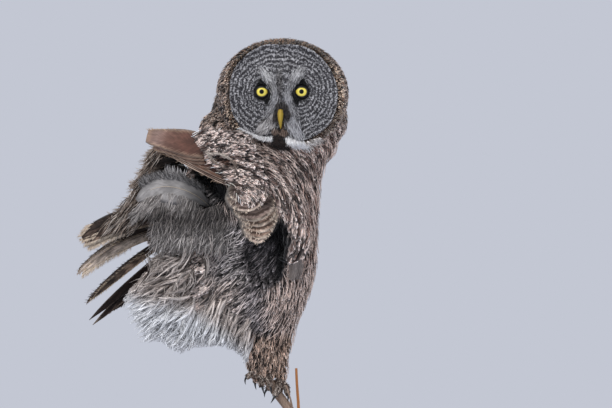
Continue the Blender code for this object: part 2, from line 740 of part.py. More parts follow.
def tail_vanes(draw):
    pieces = []
    for bunch, middle in enumerate(TAIL_BUNCH_TIPS):
        for k in range(TAIL_PER_BUNCH):
            step = k - (TAIL_PER_BUNCH - 1) / 2
            heading = (middle - TAIL_ROOT).normalized()
            spread = Vector((-heading.z, 0.25, heading.x)).normalized()
            root = TAIL_ROOT + TAIL_FIRST_ROOT + TAIL_BUNCH_STEP * bunch - spread * TAIL_ROOT_SPREAD * step
            tip = middle - spread * TAIL_TIP_SPREAD * step
            tip -= heading * (abs(step) * TAIL_TIP_SHORTENING + draw.uniform(0.0, 4.0))
            tip.y += TAIL_TIP_LAP * step
            arch = TAIL_ARCH * (1 - 0.6 * bunch)
            pieces.append(vane("tail", root, tip, TAIL_HALF_WIDTH, TAIL_FACE, 0.0, arch, TAIL_TILT, 0.3))
    return pieces


def soft_core(centre, half_size):
    """The rounded mass under a part's loose plumage."""
    shape = bmesh.new()
    bmesh.ops.create_uvsphere(shape, u_segments=18, v_segments=10, radius=1.0)
    mesh = bpy.data.meshes.new("core")
    shape.to_mesh(mesh)
    shape.free()
    mesh.transform(Matrix.Translation(centre * MM) @ Matrix.Diagonal((*(half_size * MM), 1.0)))
    return mesh


def rump_vanes(draw):
    """Broad loose feathers of the lower back, fanned from under the lifted wing to above the tail."""
    pieces = []
    for k in range(RUMP_VANES):
        s = (k + 0.5) / RUMP_VANES
        around = RUMP_FAN[0] + (RUMP_FAN[1] - RUMP_FAN[0]) * s
        depth = ((k * 0.618034) % 1.0) * 2 - 1
        out = Vector((-math.cos(around), depth * 0.75, math.sin(around))).normalized()
        root = RUMP_CENTRE + Vector([out[i] * (RUMP_HALF_SIZE[i] - 8.0) for i in range(3)])
        lie = RUMP_LIE + Vector((0.0, out.y * 0.3, 0.0)) + out * 0.25
        tip = root + lie.normalized() * RUMP_VANE_LENGTH * draw.uniform(0.85, 1.15)
        tip.z = max(tip.z, tail_top(tip.x) + RUMP_ABOVE_TAIL)
        pieces.append(vane("rump", root, tip, RUMP_VANE_HALF_WIDTH, out, 5.0, 0.0, RUMP_VANE_TILT, 0.2, 4))
    return pieces


def tail_floor(along_x):
    """The height of the tail's lower edge, which the loose plumage stays below."""
    return TAIL_ROOT.z - 26.0 - (TAIL_ROOT.x - along_x) * 0.86


def tail_top(along_x):
    """The height of the tail's upper edge, which the lower back's feathers stay above."""
    return TAIL_ROOT.z + 22.0 - (TAIL_ROOT.x - along_x) * 0.1


def fluff_locks(draw):
    """Locks of the vent and flanks, blown back and down, spread evenly by a golden angle."""
    pieces = []
    golden = math.pi * (3 - math.sqrt(5))
    for k in range(VENT_LOCKS):
        height = 1 - 2 * (k + 0.5) / VENT_LOCKS
        turn = golden * k
        flat = math.sqrt(1 - height**2)
        out = Vector((-abs(math.cos(turn)) * flat, math.sin(turn) * flat, height))
        root = VENT_CENTRE + out * VENT_LOCK_ROOTS
        lie = (out * 0.5 + VENT_LIE + Vector((0.0, draw.uniform(-0.1, 0.1), 0.0))).normalized()
        tip = root + lie * VENT_LOCK_LENGTH * draw.uniform(0.8, 1.1)
        tip.z = max(min(tip.z, tail_floor(tip.x) - 4.0), VENT_LOWEST_TIP)
        if root.z > tail_floor(root.x) - 6.0 or tip.y > VENT_FURTHEST_BACK:
            continue
        bend = Vector((draw.uniform(-4, 4), draw.uniform(-5, 5), draw.uniform(-6, 2)))
        pieces.append(lock("lock", root, tip, LOCK_HALF_WIDTH, out, bend))
    for k in range(SKIRT_LOCKS):
        turn = golden * k
        height = SKIRT_HEIGHTS[0] + (SKIRT_HEIGHTS[1] - SKIRT_HEIGHTS[0]) * ((k * 0.381966) % 1.0)
        _, forward, half_depth, half_width = row_at(TORSO_ROWS, height)
        out = (FORWARD * math.cos(turn) * half_depth + RIGHT * math.sin(turn) * half_width).normalized()
        if out.x > 0.6:
            continue
        centre = body_point(forward, 0.0, height)
        root = centre + FORWARD * math.cos(turn) * (half_depth - SKIRT_ROOT_DEPTH)
        root += RIGHT * math.sin(turn) * (half_width - SKIRT_ROOT_DEPTH)
        lie = (out * 0.35 + SKIRT_LIE).normalized()
        tip = root + lie * SKIRT_LOCK_LENGTH * draw.uniform(0.85, 1.2)
        tip.z = max(tip.z, SKIRT_LOWEST_TIP)
        pieces.append(lock("lock", root, tip, LOCK_HALF_WIDTH, out, Vector((0.0, 0.0, -3.0))))
    return pieces


def make_body(finish, home):
    draw = random.Random(SEED)
    plain = body_loft("torso", TORSO_ROWS)
    plain_neck = body_loft("neck", NECK_ROWS)
    vent = soft_core(VENT_CENTRE, VENT_HALF_SIZE)
    rump = soft_core(RUMP_CENTRE, RUMP_HALF_SIZE)
    tail_pieces = tail_vanes(draw)
    tail_core = soft_core(TAIL_CORE_CENTRE, TAIL_CORE_HALF_SIZE)
    tail = fused("tail", tail_core, tail_pieces, finish["coat"], home)
    cut_back(tail, swollen(plain, GAP), swollen(vent, GAP), swollen(rump, GAP))
    right_wing = fused("right_wing", arm_mesh("right_wing", RIGHT_ARM_ROWS, 1), right_wing_pieces(draw),
                       finish["coat"], home)
    cut_back(right_wing, swollen(plain, GAP), swollen(plain_neck, GAP), swollen(rump, GAP))
    left_wing = fused("left_wing", arm_mesh("left_wing", LEFT_ARM_ROWS, -1), left_wing_pieces(draw),
                      finish["coat"], home)
    cut_back(left_wing, swollen(plain, GAP), swollen(plain_neck, GAP), swollen(rump, GAP))
    torso = fused("torso", plain, [vent, rump, *fluff_locks(draw), *rump_vanes(draw)], finish["coat"], home)
    neck = new_object("neck", plain_neck, finish["coat"], home)
    cut_back(neck, swollen(head_mesh(), GAP))
    return torso


def column(name, rows):
    rings = []
    for height, along_x, along_y, half_x, half_y in rows:
        centre = Vector((along_x, along_y, height))
        rings.append(ellipse(centre, Vector((half_x, 0, 0)), Vector((0, half_y, 0)), LEG_SIDES))
    return loft(name, rings)


def tube(name, path, radius, sides=10, stations=9, end_share=1.0):
    centres = [curve_through(path, k / (stations - 1)) for k in range(stations)]
    halves = []
    for k in range(stations):
        size = radius * (1 - (1 - end_share) * k / (stations - 1))
        halves.append((size, size))
    return limb(name, centres, halves, Vector((0.0, 1.0, 0.05)), sides)


def make_perch(finish, home):
    stem = tube("perch_stem", STEM_PATH, STEM_RADIUS, 12, 11)
    shoot = tube("shoot", SHOOT_PATH, SHOOT_RADIUS, 8, 8, 0.75)
    twig = tube("twig", TWIG_PATH, TWIG_RADIUS, 8, 6, 0.7)
    return fused("perch_stem", stem, [shoot, twig], finish["bark"], home)


def claw_mesh(start, heading, aim):
    """A hooked claw that starts along its toe and turns down to its point."""
    rings = []
    stations = 5
    heading = heading.normalized()
    aim = aim.normalized()
    side = heading.cross(aim).normalized()
    centre = start.copy()
    for k in range(stations):
        s = k / stations
        along = heading.lerp(aim, min(s * 1.3, 1.0)).normalized()
        size = CLAW_RADIUS * (1 - s) ** 0.8
        up = side.cross(along)
        rings.append(ellipse(centre, side * size, up * size, 8))
        centre = centre + along * CLAW_LENGTH / stations
    return loft("claw", rings, end_pole=centre)


def make_foot(side_name, middle, toes, leg, finish, home, stem_tool):
    pads = []
    claws = []
    for toe_name, bend, end, aim in toes:
        path = (middle, bend, end)
        pads.append(tube("toe", path, TOE_RADIUS, 8, 5, 0.72))
        heading = (end - bend).normalized()
        claws.append((f"{side_name}_{toe_name}_claw", claw_mesh(end + heading * GAP * 2, heading, aim)))
    foot = fused(f"{side_name}_foot", ball(middle, TOE_RADIUS * 1.5, 10, 6), pads, finish["foot"], home)
    cut_back(foot, stem_tool.copy(), leg)
    for name, mesh in claws:
        claw = new_object(name, mesh, finish["claw"], home)
        cut_back(claw, stem_tool.copy(), swollen(foot.data, GAP * 0.9))
    return foot


def make_legs(finish, home):
    plain = body_loft("torso", TORSO_ROWS)
    stem_tool = swollen(tube("stem", STEM_PATH, STEM_RADIUS, 12, 11), GAP)
    for side_name, rows, middle, toes in (
        ("right", RIGHT_LEG_ROWS, RIGHT_FOOT, RIGHT_TOES),
        ("left", LEFT_LEG_ROWS, LEFT_FOOT, LEFT_TOES),
    ):
        leg = new_object(f"{side_name}_leg", column("leg", rows), finish["coat"], home)
        cut_back(leg, swollen(plain, GAP), stem_tool.copy())
        if side_name == "left":
            cut_back(leg, swollen(column("leg", RIGHT_LEG_ROWS), GAP))
        make_foot(side_name, middle, toes, swollen(column("leg", rows), GAP), finish, home, stem_tool)


def cylinder(name, radius, low, high, place, sides, finish, home):
    bpy.ops.mesh.primitive_cylinder_add(
        vertices=sides, radius=radius * MM, depth=(high - low) * MM,
        location=Vector((place.x, place.y, (low + high) / 2)) * MM)
    made = bpy.context.object
    made.name = name
    made.data.materials.append(finish)
    for collection in list(made.users_collection):
        collection.objects.unlink(made)
    home.objects.link(made)
    return made


def make_stand(finish, home):
    cylinder("stand_base", BASE_RADIUS, 0.0, BASE_THICKNESS, BASE_CENTRE, 64, finish["stand"], home)
    top = STEM_PATH[-1]
    rod = cylinder("stand_rod", ROD_RADIUS, BASE_THICKNESS + GAP, top.z + ROD_LAP, top, 24,
                   finish["rod"], home)
    cut_back(rod, swollen(tube("stem", STEM_PATH, STEM_RADIUS, 12, 11), GAP))


def main():
    clear_scene()
    home = bpy.data.collections.new("great_grey_owl")
    bpy.context.scene.collection.children.link(home)
    finish = {
        "coat": material("plumage", (0.23, 0.20, 0.18), 0.85),
        "eye": material("iris", (0.85, 0.62, 0.03), 0.15),
        "bill": material("bill_horn", (0.62, 0.48, 0.10), 0.4),
        "claw": material("claw_horn", (0.02, 0.02, 0.02), 0.35),
        "foot": material("toe_plumage", (0.20, 0.17, 0.15), 0.9),
        "bark": material("bark", (0.19, 0.14, 0.11), 0.8),
        "stand": material("stand_wood", (0.05, 0.04, 0.035), 0.5),
        "rod": material("stand_rod_metal", (0.03, 0.03, 0.03), 0.35, 1.0),
    }
    make_head(finish, home)
    make_body(finish, home)
    make_perch(finish, home)
    make_legs(finish, home)
    make_stand(finish, home)


main()
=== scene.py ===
"""A great grey owl on a cut stem, life size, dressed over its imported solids.

Sizes are in millimetres in the model's own frame and are turned to metres when a mesh is made.
The face looks along -Y, the breast points along +X, and the wind blows towards -X.
"""

import math

import bmesh
import bpy
import numpy as np
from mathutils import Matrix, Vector
from mathutils.bvhtree import BVHTree
from mathutils.kdtree import KDTree


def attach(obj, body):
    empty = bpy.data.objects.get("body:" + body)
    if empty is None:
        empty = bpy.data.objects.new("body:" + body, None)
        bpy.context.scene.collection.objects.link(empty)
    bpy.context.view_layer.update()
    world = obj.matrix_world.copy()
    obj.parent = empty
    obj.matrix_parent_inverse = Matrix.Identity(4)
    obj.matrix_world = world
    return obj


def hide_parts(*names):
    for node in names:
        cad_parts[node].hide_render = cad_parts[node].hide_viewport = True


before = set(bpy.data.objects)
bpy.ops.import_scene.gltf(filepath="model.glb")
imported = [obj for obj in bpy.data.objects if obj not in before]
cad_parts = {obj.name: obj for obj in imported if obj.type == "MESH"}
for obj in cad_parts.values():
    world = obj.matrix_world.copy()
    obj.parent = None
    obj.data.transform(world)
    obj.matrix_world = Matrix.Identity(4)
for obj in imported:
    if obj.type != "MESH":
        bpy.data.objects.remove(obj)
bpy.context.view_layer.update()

# Camera: level with the owl's breast and square on, through a lens so long that nothing looks bent.
# The stem's grip is the one place that fixes the picture: a photographed pixel and a real height.
MM = 0.001
PICTURE_SIZE = (612, 408)
MM_PER_PIXEL = 1.3
GRIP_PIXEL = (272, 385)
GRIP_HEIGHT = 150.0
CAMERA_DISTANCE = 6000.0
SENSOR = 36.0

camera_data = bpy.data.cameras.new("photograph")
camera = bpy.data.objects.new("photograph", camera_data)
bpy.context.scene.collection.objects.link(camera)
camera.location = Vector((
    (PICTURE_SIZE[0] / 2 - GRIP_PIXEL[0]) * MM_PER_PIXEL,
    -CAMERA_DISTANCE,
    GRIP_HEIGHT + (GRIP_PIXEL[1] - PICTURE_SIZE[1] / 2) * MM_PER_PIXEL,
    )) * MM
camera.rotation_euler = (math.radians(90.0), 0.0, 0.0)
camera_data.sensor_width = SENSOR
camera_data.lens = SENSOR * CAMERA_DISTANCE / (PICTURE_SIZE[0] * MM_PER_PIXEL)
camera_data.clip_end = 60.0
bpy.context.scene.camera = camera

# Skin: one closed hide under all the plumage, from crown to toes and out along both arms, with no seam.
# It is lofted through the same ellipses as the solids, drawn in by the depth of the feathers, then
# melted into one surface and pressed in where the near wing overhangs the flank.
BODY_YAW = math.radians(15.0)
BODY_AXIS = np.array((-18.0, 2.0, 0.0))
FORWARD = np.array((math.cos(BODY_YAW), -math.sin(BODY_YAW), 0.0))
RIGHT = np.array((-math.sin(BODY_YAW), -math.cos(BODY_YAW), 0.0))
UP = np.array((0.0, 0.0, 1.0))
# Each row: height, how far forward the middle is, half depth front to back, half width side to side
BODY_ROWS = np.array((
    (198.0, 6.0, 20.0, 20.0),
    (208.0, 4.0, 35.0, 32.0),
    (226.0, -4.0, 54.0, 46.0),
    (248.0, -7.0, 67.0, 56.0),
    (275.0, -7.0, 78.0, 64.0),
    (303.0, -6.0, 84.0, 70.0),
    (342.0, -7.0, 86.0, 76.0),
    (378.0, -7.0, 87.0, 80.0),
    (415.0, -3.0, 86.0, 78.0),
    (448.0, 7.0, 86.0, 70.0),
    (460.0, 10.0, 88.0, 62.0),
    (475.0, 14.0, 87.0, 53.0),
    (492.0, 19.0, 84.0, 47.0),
    (512.0, 24.0, 74.0, 42.0),
    (530.0, 28.0, 56.0, 34.0),
    (542.0, 30.0, 34.0, 22.0),
    ))
HEAD_CENTRE = np.array((15.0, -14.0, 526.8))
HEAD_HALF_WIDTH = 88.0
HEAD_HALF_HEIGHT = 74.5
HEAD_TURN = math.radians(-3.0)
# Behind the face, each row: distance in front of the head's centre, share of the head's half width
HEAD_ROWS = np.array((
    (-70.0, 0.30),
    (-58.0, 0.56),
    (-38.0, 0.79),
    (-14.0, 0.93),
    (12.0, 0.99),
    (32.0, 1.0),
    (46.0, 0.965),
    (55.0, 0.905),
    ))
# Inside the rim, each row: share of the head's half width, distance in front of the head's centre
FACE_ROWS = np.array((
    (0.0, 42.5), (0.15, 42.0), (0.29, 41.0), (0.43, 41.0), (0.57, 43.0), (0.70, 46.0), (0.81, 50.0),
    (0.855, 54.5), (0.905, 55.0), (0.965, 46.0), (1.0, 32.0),
    ))
# The soft masses of vent, rump and tail root: middle and half sizes
SOFT_MASSES = (
    (np.array((-103.0, 2.0, 391.0)), np.array((50.0, 50.0, 46.0))),
    (np.array((-98.0, -8.0, 282.0)), np.array((40.0, 46.0, 58.0))),
    (np.array((-138.0, 2.0, 350.0)), np.array((32.0, 12.0, 30.0))),
    (np.array((-106.0, -12.0, 334.0)), np.array((34.0, 36.0, 34.0))),
    (np.array((-44.0, 12.0, 508.0)), np.array((40.0, 34.0, 44.0))),
    (np.array((-60.0, 10.0, 484.0)), np.array((42.0, 36.0, 30.0))),
    (np.array((64.0, 8.0, 494.0)), np.array((41.0, 34.0, 41.0))),
    (np.array((5.0, 22.0, 498.0)), np.array((46.0, 31.0, 42.0))),
    (np.array((54.0, 6.0, 466.0)), np.array((36.0, 32.0, 31.0))),
    (np.array((-11.0, -1.0, 186.0)), np.array((27.0, 17.0, 40.0))),
    (np.array((-70.0, -4.0, 244.0)), np.array((42.0, 40.0, 34.0))),
    )
# Arms, each row: along X, height, half width across the arm, half thickness
RIGHT_ARM_ROWS = ((22.0, 349.0, 9.0, 5.0), (12.0, 372.0, 20.0, 8.0), (-12.0, 402.0, 27.0, 9.0),
    (-42.0, 424.0, 27.0, 9.0), (-75.0, 442.0, 21.0, 8.0), (-104.0, 457.0, 14.0, 5.0))
LEFT_ARM_ROWS = ((20.0, 434.0, 14.0, 5.0), (24.0, 405.0, 24.0, 8.0), (20.0, 370.0, 30.0, 9.0),
    (0.0, 341.0, 30.0, 9.0), (-36.0, 326.0, 26.0, 8.0), (-70.0, 318.0, 16.0, 5.0))
ARM_COAT_DEPTH = 3.0
# Legs, each row: height, along X, along Y, half size along X, half size along Y
RIGHT_LEG_ROWS = ((226.0, -16.0, -14.0, 24.0, 20.0), (204.0, -17.0, -13.0, 21.0, 17.0),
    (188.0, -16.0, -11.0, 16.5, 14.0), (174.0, -15.0, -9.0, 13.5, 11.5),
    (162.0, -14.0, -8.0, 10.0, 8.0))
LEFT_LEG_ROWS = ((226.0, 9.0, 16.0, 20.0, 18.0), (204.0, 10.0, 14.0, 14.0, 15.0),
    (188.0, 12.0, 12.0, 9.5, 12.0), (172.0, 13.0, 9.0, 8.0, 10.0), (155.0, 12.0, 7.0, 8.5, 8.5))
COAT_DEPTH = 8.0
LEG_COAT_DEPTH = 3.5
SKIN_VOXEL = 4.5
# The shaded hollow under the folded wing, the cavity over the tail's root and the slit in the shoulder,
# each an outline of along X, height
HOLLOW_SHAPE = np.array(((13.0, 366.0), (21.0, 352.0), (23.0, 336.0), (19.0, 316.0), (17.0, 296.0),
    (10.0, 282.0),
    (-8.0, 278.0), (-26.0, 284.0), (-37.0, 300.0), (-40.0, 322.0), (-33.0, 342.0), (-10.0, 348.0)))
CAVITY_SHAPE = np.array(((-108.0, 440.0), (-86.0, 430.0), (-62.0, 416.0), (-56.0, 400.0), (-58.0, 384.0),
    (-68.0, 388.0), (-80.0, 402.0), (-96.0, 412.0)))
SLIT_SHAPE = np.array(((-80.0, 449.5), (-67.0, 449.0), (-55.0, 443.5), (-47.0, 435.5), (-48.0, 430.5),
    (-59.0, 432.5),
    (-70.0, 438.5), (-78.0, 445.5)))
HOLLOW_DEPTH = 13.0
ARM_SINK = 4.0
# The mantle's edge, which laps over the wing and ends in a point: along X, along Y, height
MANTLE_EDGE = np.array(((-8.0, -62.0, 440.0), (-4.0, -70.0, 424.0), (10.0, -74.0, 402.0),
    (23.0, -75.0, 384.0),
    (31.0, -74.0, 366.0), (36.0, -70.0, 347.0), (34.0, -66.0, 332.0), (29.0, -62.0, 318.0)))
MANTLE_EDGE_SIZES = ((9.0, 5.0), (12.0, 7.5), (12.5, 8.0), (12.5, 8.0), (12.0, 8.0), (10.5, 8.0),
    (8.5, 7.0), (4.0, 4.0))


def unit(v):
    return v / np.maximum(np.linalg.norm(v, axis=-1, keepdims=True), 1e-9)


def ease(x, low, high):
    """A smooth step from 0 at low to 1 at high."""
    t = np.clip((np.asarray(x, float) - low) / (high - low), 0.0, 1.0)
    return t * t * (3 - 2 * t)


def depth_in(x, z, shape):
    """How far a place lies inside an outline, and below nought how far outside it."""
    gap = np.full(np.shape(x), 1e9)
    inside = np.zeros(np.shape(x), dtype=bool)
    for a, b in zip(shape, np.roll(shape, -1, axis=0)):
        t = np.clip(((x - a[0]) * (b[0] - a[0]) + (z - a[1]) * (b[1] - a[1])) / np.sum((b - a) ** 2), 0.0,
            1.0)
        gap = np.minimum(gap, np.hypot(x - a[0] - t * (b[0] - a[0]), z - a[1] - t * (b[1] - a[1])))
        crosses = (a[1] > z) != (b[1] > z)
        inside ^= crosses & (x < (b[0] - a[0]) * (z - a[1]) / (b[1] - a[1] + 1e-9) + a[0])
    return np.where(inside, gap, -gap)


def head_point(across, front, height):
    """From the head's own measures to the model's frame."""
    c, s = math.cos(HEAD_TURN), math.sin(HEAD_TURN)
    across, front, height = np.broadcast_arrays(across, front, height)
    return HEAD_CENTRE + np.stack((across * c + front * s, across * s - front * c, height), axis=-1)


def head_measures(p):
    """From the model's frame to the head's own measures: across, front and height."""
    c, s = math.cos(HEAD_TURN), math.sin(HEAD_TURN)
    d = p - HEAD_CENTRE
    return d[..., 0] * c + d[..., 1] * s, d[..., 0] * s - d[..., 1] * c, d[..., 2]


def torso_side(along_x, height, side):
    """Where the body's surface lies along Y at a place seen from the side. side is 1 right, -1 left."""
    forward, half_depth, half_width = (np.interp(height, BODY_ROWS[:, 0], BODY_ROWS[:, i]) for i in (1, 2,
        3))
    turns = np.radians(np.arange(-90.0, 91.0, 1.0))
    x = BODY_AXIS[0] + FORWARD[0] * (forward + half_depth
        * np.sin(turns)) + RIGHT[0] * side * half_width * np.cos(turns)
    y = BODY_AXIS[1] + FORWARD[1] * (forward + half_depth
        * np.sin(turns)) + RIGHT[1] * side * half_width * np.cos(turns)
    return float(y[np.argmin(np.abs(x - along_x))])


def on_side(along_x, height, side, lift):
    return np.array((along_x, torso_side(along_x, height, side) - side * lift, height))


def join_rings(rings):
    """A closed loft through rings of points, as a mesh's points and faces."""
    sides = len(rings[0])
    points = [p for ring in rings for p in ring]
    faces = []
    for k in range(len(rings) - 1):
        for i in range(sides):
            a, b = k * sides + i, k * sides + (i + 1) % sides
            faces.append((a, b, b + sides, a + sides))
    faces.append(tuple(range(sides))[::-1])
    faces.append(tuple(range(len(points) - sides, len(points))))
    return points, faces


def oval(centre, u, v, sides=40):
    turn = np.linspace(0, math.tau, sides, endpoint=False)[:, None]
    return centre + np.cos(turn) * u + np.sin(turn) * v


def ellipsoid(centre, half):
    steps = np.linspace(-0.985, 0.985, 15)
    return join_rings([
        oval(centre + UP * half[2] * s, np.array((half[0], 0, 0)) * math.sqrt(1 - s * s),
        np.array((0, half[1], 0)) * math.sqrt(1 - s * s)) for s in steps
        ])


def arm(rows, side):
    """An arm's flesh along the body's side, seen as a flat limb that bulges outward."""
    path = [on_side(x, z, side, thick * 0.5 - ARM_SINK) for x, z, _, thick in rows]
    outward = np.array((0.0, -side, 0.0))
    rings = []
    for k, centre in enumerate(path):
        along = unit(path[min(k + 1, len(path) - 1)] - path[max(k - 1, 0)])
        out = unit(outward - outward.dot(along) * along)
        wide, thick = rows[k][2] - ARM_COAT_DEPTH, rows[k][3] - ARM_COAT_DEPTH
        rings.append(oval(centre, np.cross(along, out) * wide, out * thick))
    return join_rings(rings)


def mesh_object(name, points, faces):
    mesh = bpy.data.meshes.new(name)
    mesh.from_pydata([tuple(p) for p in np.asarray(points, float) * MM], [], faces)
    shape = bmesh.new()
    shape.from_mesh(mesh)
    bmesh.ops.recalc_face_normals(shape, faces=shape.faces)
    shape.to_mesh(mesh)
    shape.free()
    made = bpy.data.objects.new(name, mesh)
    bpy.context.scene.collection.objects.link(made)
    return made


def settled(obj):
    """Applies an object's modifiers."""
    graph = bpy.context.evaluated_depsgraph_get()
    mesh = bpy.data.meshes.new_from_object(obj.evaluated_get(graph))
    obj.modifiers.clear()
    obj.data = mesh
    return obj


flesh = []
rings = []
for height, forward, half_depth, half_width in BODY_ROWS:
    centre = BODY_AXIS + FORWARD * forward + UP * height
    rings.append(oval(centre, FORWARD * (half_depth - COAT_DEPTH), RIGHT * (half_width - COAT_DEPTH)))
flesh.append(join_rings(rings))
rings = []
for front, share in HEAD_ROWS:
    size = share - 0.055
    middle = head_point(0.0, min(front, 46.0) - 2.0, 0.0)
    rings.append(oval(middle, np.array((HEAD_HALF_WIDTH * size, 0, 0)),
        np.array((0, 0, HEAD_HALF_HEIGHT * size))))
for share, front in FACE_ROWS[1:-4][::-1]:
    middle = head_point(0.0, front - 5.0, 0.0)
    rings.append(oval(middle, np.array((HEAD_HALF_WIDTH * share, 0, 0)),
        np.array((0, 0, HEAD_HALF_HEIGHT * share))))
flesh.append(join_rings(rings))
for rows in (RIGHT_LEG_ROWS, LEFT_LEG_ROWS):
    flesh.append(join_rings([
        oval(np.array((x, y, z)), np.array((hx - LEG_COAT_DEPTH, 0, 0)),
        np.array((0, hy - LEG_COAT_DEPTH, 0)))
        for z, x, y, hx, hy in rows
        ]))
for centre, half in SOFT_MASSES:
    flesh.append(ellipsoid(centre, half - np.array((COAT_DEPTH, min(COAT_DEPTH, half[1] * 0.3),
        COAT_DEPTH))))
flesh.append(join_rings([
    oval(middle, np.array((wide, 0, 0)), np.array((0, deep, 0)))
    for middle, (wide, deep) in zip(MANTLE_EDGE, MANTLE_EDGE_SIZES)
    ]))
flesh.append(arm(RIGHT_ARM_ROWS, 1))
flesh.append(arm(LEFT_ARM_ROWS, -1))
points, faces = [], []
for part_points, part_faces in flesh:
    start = len(points)
    points += list(part_points)
    faces += [tuple(i + start for i in f) for f in part_faces]
skin = mesh_object("skin", points, faces)
melt = skin.modifiers.new("melt", "REMESH")
melt.mode = "VOXEL"
melt.voxel_size = SKIN_VOXEL * MM
settled(skin)
relax = skin.modifiers.new("relax", "SMOOTH")
relax.factor = 0.6
relax.iterations = 6
settled(skin)
co = np.empty(len(skin.data.vertices) * 3)
skin.data.vertices.foreach_get("co", co)
co = co.reshape(-1, 3) / MM
near = ease(-co[:, 1], 5.0, 30.0)
for shape in (HOLLOW_SHAPE, CAVITY_SHAPE):
    co[:, 1] += HOLLOW_DEPTH * ease(depth_in(co[:, 0], co[:, 2], shape), -3.0, 7.0) * near
co[:, 1] += 7.0 * ease(depth_in(co[:, 0], co[:, 2], SLIT_SHAPE), -2.0, 4.0) * near
skin.data.vertices.foreach_set("co", (co * MM).ravel())
skin.data.update()
skin.data.shade_smooth()
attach(skin, "root")
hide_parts("torso", "neck", "head", "right_leg", "left_leg")

# Plumage colours: the same markings tint the hide and every feather that stands on it. Dark lanes run
# down the lie of the coat, as the dark feather shafts line up, over a pale ground of fine cross bars.
# The wing shades a hollow of the flank, painted dark as shade there and at the tail's root, in the shoulder
# slit and under the wing, and the loose feathers at the hem are bleached nearly white.
SWIRL = (-60.0, 368.0)
# The deepest part of the hollow, painted near black as shadow: along X, height
HOLLOW_PIT = np.array(((12.0, 366.0), (21.0, 352.0), (23.0, 336.0), (19.0, 316.0), (15.0, 294.0),
    (6.0, 286.0),
    (4.0, 310.0), (5.0, 332.0), (-2.0, 340.0)))
LANE_WIDTH = 13.0
BELLY_LANE_WIDTH = 10.0


def colour(code, alpha=False):
    """An sRGB hex colour as linear values."""
    parts = [int(code[i:i + 2], 16) / 255 for i in (1, 3, 5)]
    linear = [c / 12.92 if c <= 0.04045 else ((c + 0.055) / 1.055) ** 2.4 for c in parts]
    return (*linear, 1.0) if alpha else np.array(linear)


def wander(p, size, seed):
    """Smooth random waves about size millimetres long, from -1 to 1."""
    draw = np.random.default_rng(seed)
    total = np.zeros(p.shape[:-1])
    for _ in range(6):
        way = draw.normal(0, 1, 3)
        way = way / np.linalg.norm(way) * math.tau / size * draw.uniform(0.7, 1.5)
        total += np.sin(p @ way + draw.uniform(0, math.tau))
    return total / 3.2


def mixed(pairs, fallback):
    """Directions or colours blended by weights, with a fallback where the weights leave room."""
    total = np.zeros(pairs[0][0].shape)
    result = np.zeros((*total.shape, 3))
    for weight, value in pairs:
        weight = np.minimum(weight, 1 - total)
        result += weight[..., None] * value
        total = total + weight
    return result + (1 - total)[..., None] * np.array(fallback)


def lie_at(p):
    """The way that feathers lie: back over the crown, in arcs over the shoulder, down the belly."""
    x, y, z = (p[..., i] for i in range(3))
    one, none = np.ones(x.shape), np.zeros(x.shape)
    near = ease(-y, -25.0, 20.0)
    across, front, height = head_measures(p)
    over_crown = np.stack((across * 0.012, one, -0.35 - 0.012 * np.abs(across)), axis=-1)
    nape = np.array((-0.42, 0.12, -0.9))
    arcs = unit(np.stack((z - SWIRL[1], none, SWIRL[0] - x), axis=-1))
    belly = np.stack((-0.1 - 0.55 * ease(-z, -290.0, -215.0), none, -one), axis=-1)
    return mixed((
        (ease(z, 474.0, 498.0), unit(over_crown)),
        (ease(z, 448.0, 474.0) * ease(-x, -20.0, 40.0), nape),
        (near * ease(z, 286.0, 318.0) * np.maximum(ease(x, -66.0, -44.0), ease(z, 408.0, 428.0)), arcs),
        (near * ease(-x, -20.0, 30.0) * ease(z, 300.0, 330.0), np.array((-0.5, 0.0, -0.85))),
        (ease(-z, -232.0, -212.0) * ease(x, -50.0, -36.0), np.array((-0.15, 0.0, -1.0))),
        (ease(-x, -10.0, 45.0), np.array((-0.8, 0.0, -0.6))),
        (ease(-z, -330.0, -300.0), belly),
        ), (-0.35, 0.0, -0.9))


# name: (dark marks, ground, rim, strength of shaft streak, of cross bars, of rim, of dark lanes)
COAT = {
    "crown": ("#251a15", "#7c6c61", "#dccfc4", 0.5, 0.8, 0.7, 0.3),
    # cap: painted shade, the top of the head darker than the crown, where the lamp behind lights it
    "cap": ("#1b110b", "#59473a", "#9c8674", 0.5, 0.8, 0.6, 0.4),
    "mantle": ("#2f1b14", "#e4cfc3", "#fff4ec", 0.6, 0.25, 0.6, 0.9),
    "scapular": ("#38231a", "#dac5b9", "#fff4e8", 0.6, 0.3, 0.6, 0.6),
    "breast": ("#341f17", "#dac4b8", "#fff5ee", 0.65, 0.2, 0.6, 0.9),
    "belly": ("#3a2a23", "#bfaca1", "#f8eee8", 0.6, 0.5, 0.6, 0.55),
    "flank": ("#2c2725", "#787170", "#c3bcb9", 0.5, 0.4, 0.5, 0.5),
    # hollow, pit, slit, rump and underside: painted shade, dark where the wing and shoulder overhang the
    # hide
    "hollow": ("#0f0d0e", "#4c4747", "#847f7f", 0.6, 0.3, 0.5, 0.85),
    "pit": ("#040404", "#0b0a0b", "#151314", 0.3, 0.2, 0.2, 0.3),
    "slit": ("#1a110d", "#392820", "#543f34", 0.3, 0.2, 0.3, 0.2),
    "rump": ("#2a2624", "#5f5a58", "#8f8a88", 0.3, 0.3, 0.5, 0.3),
    "underside": ("#3a3634", "#827c7a", "#bab4b1", 0.3, 0.35, 0.5, 0.4),
    "fluff": ("#6a5d55", "#a0948d", "#efe6e0", 0.3, 0.35, 0.6, 0.3),
    "hem": ("#aaa29f", "#f4f1f1", "#ffffff", 0.15, 0.25, 0.6, 0.1),
    "leg": ("#33261f", "#a38c7c", "#e5d3c3", 0.55, 0.5, 0.5, 0.5),
    "back": ("#3d3029", "#8b7f77", "#c0b5ad", 0.6, 0.6, 0.5, 0.5),
    }
COAT_INK, COAT_GROUND, COAT_RIM = ({k: colour(v[i]) for k, v in COAT.items()} for i in range(3))


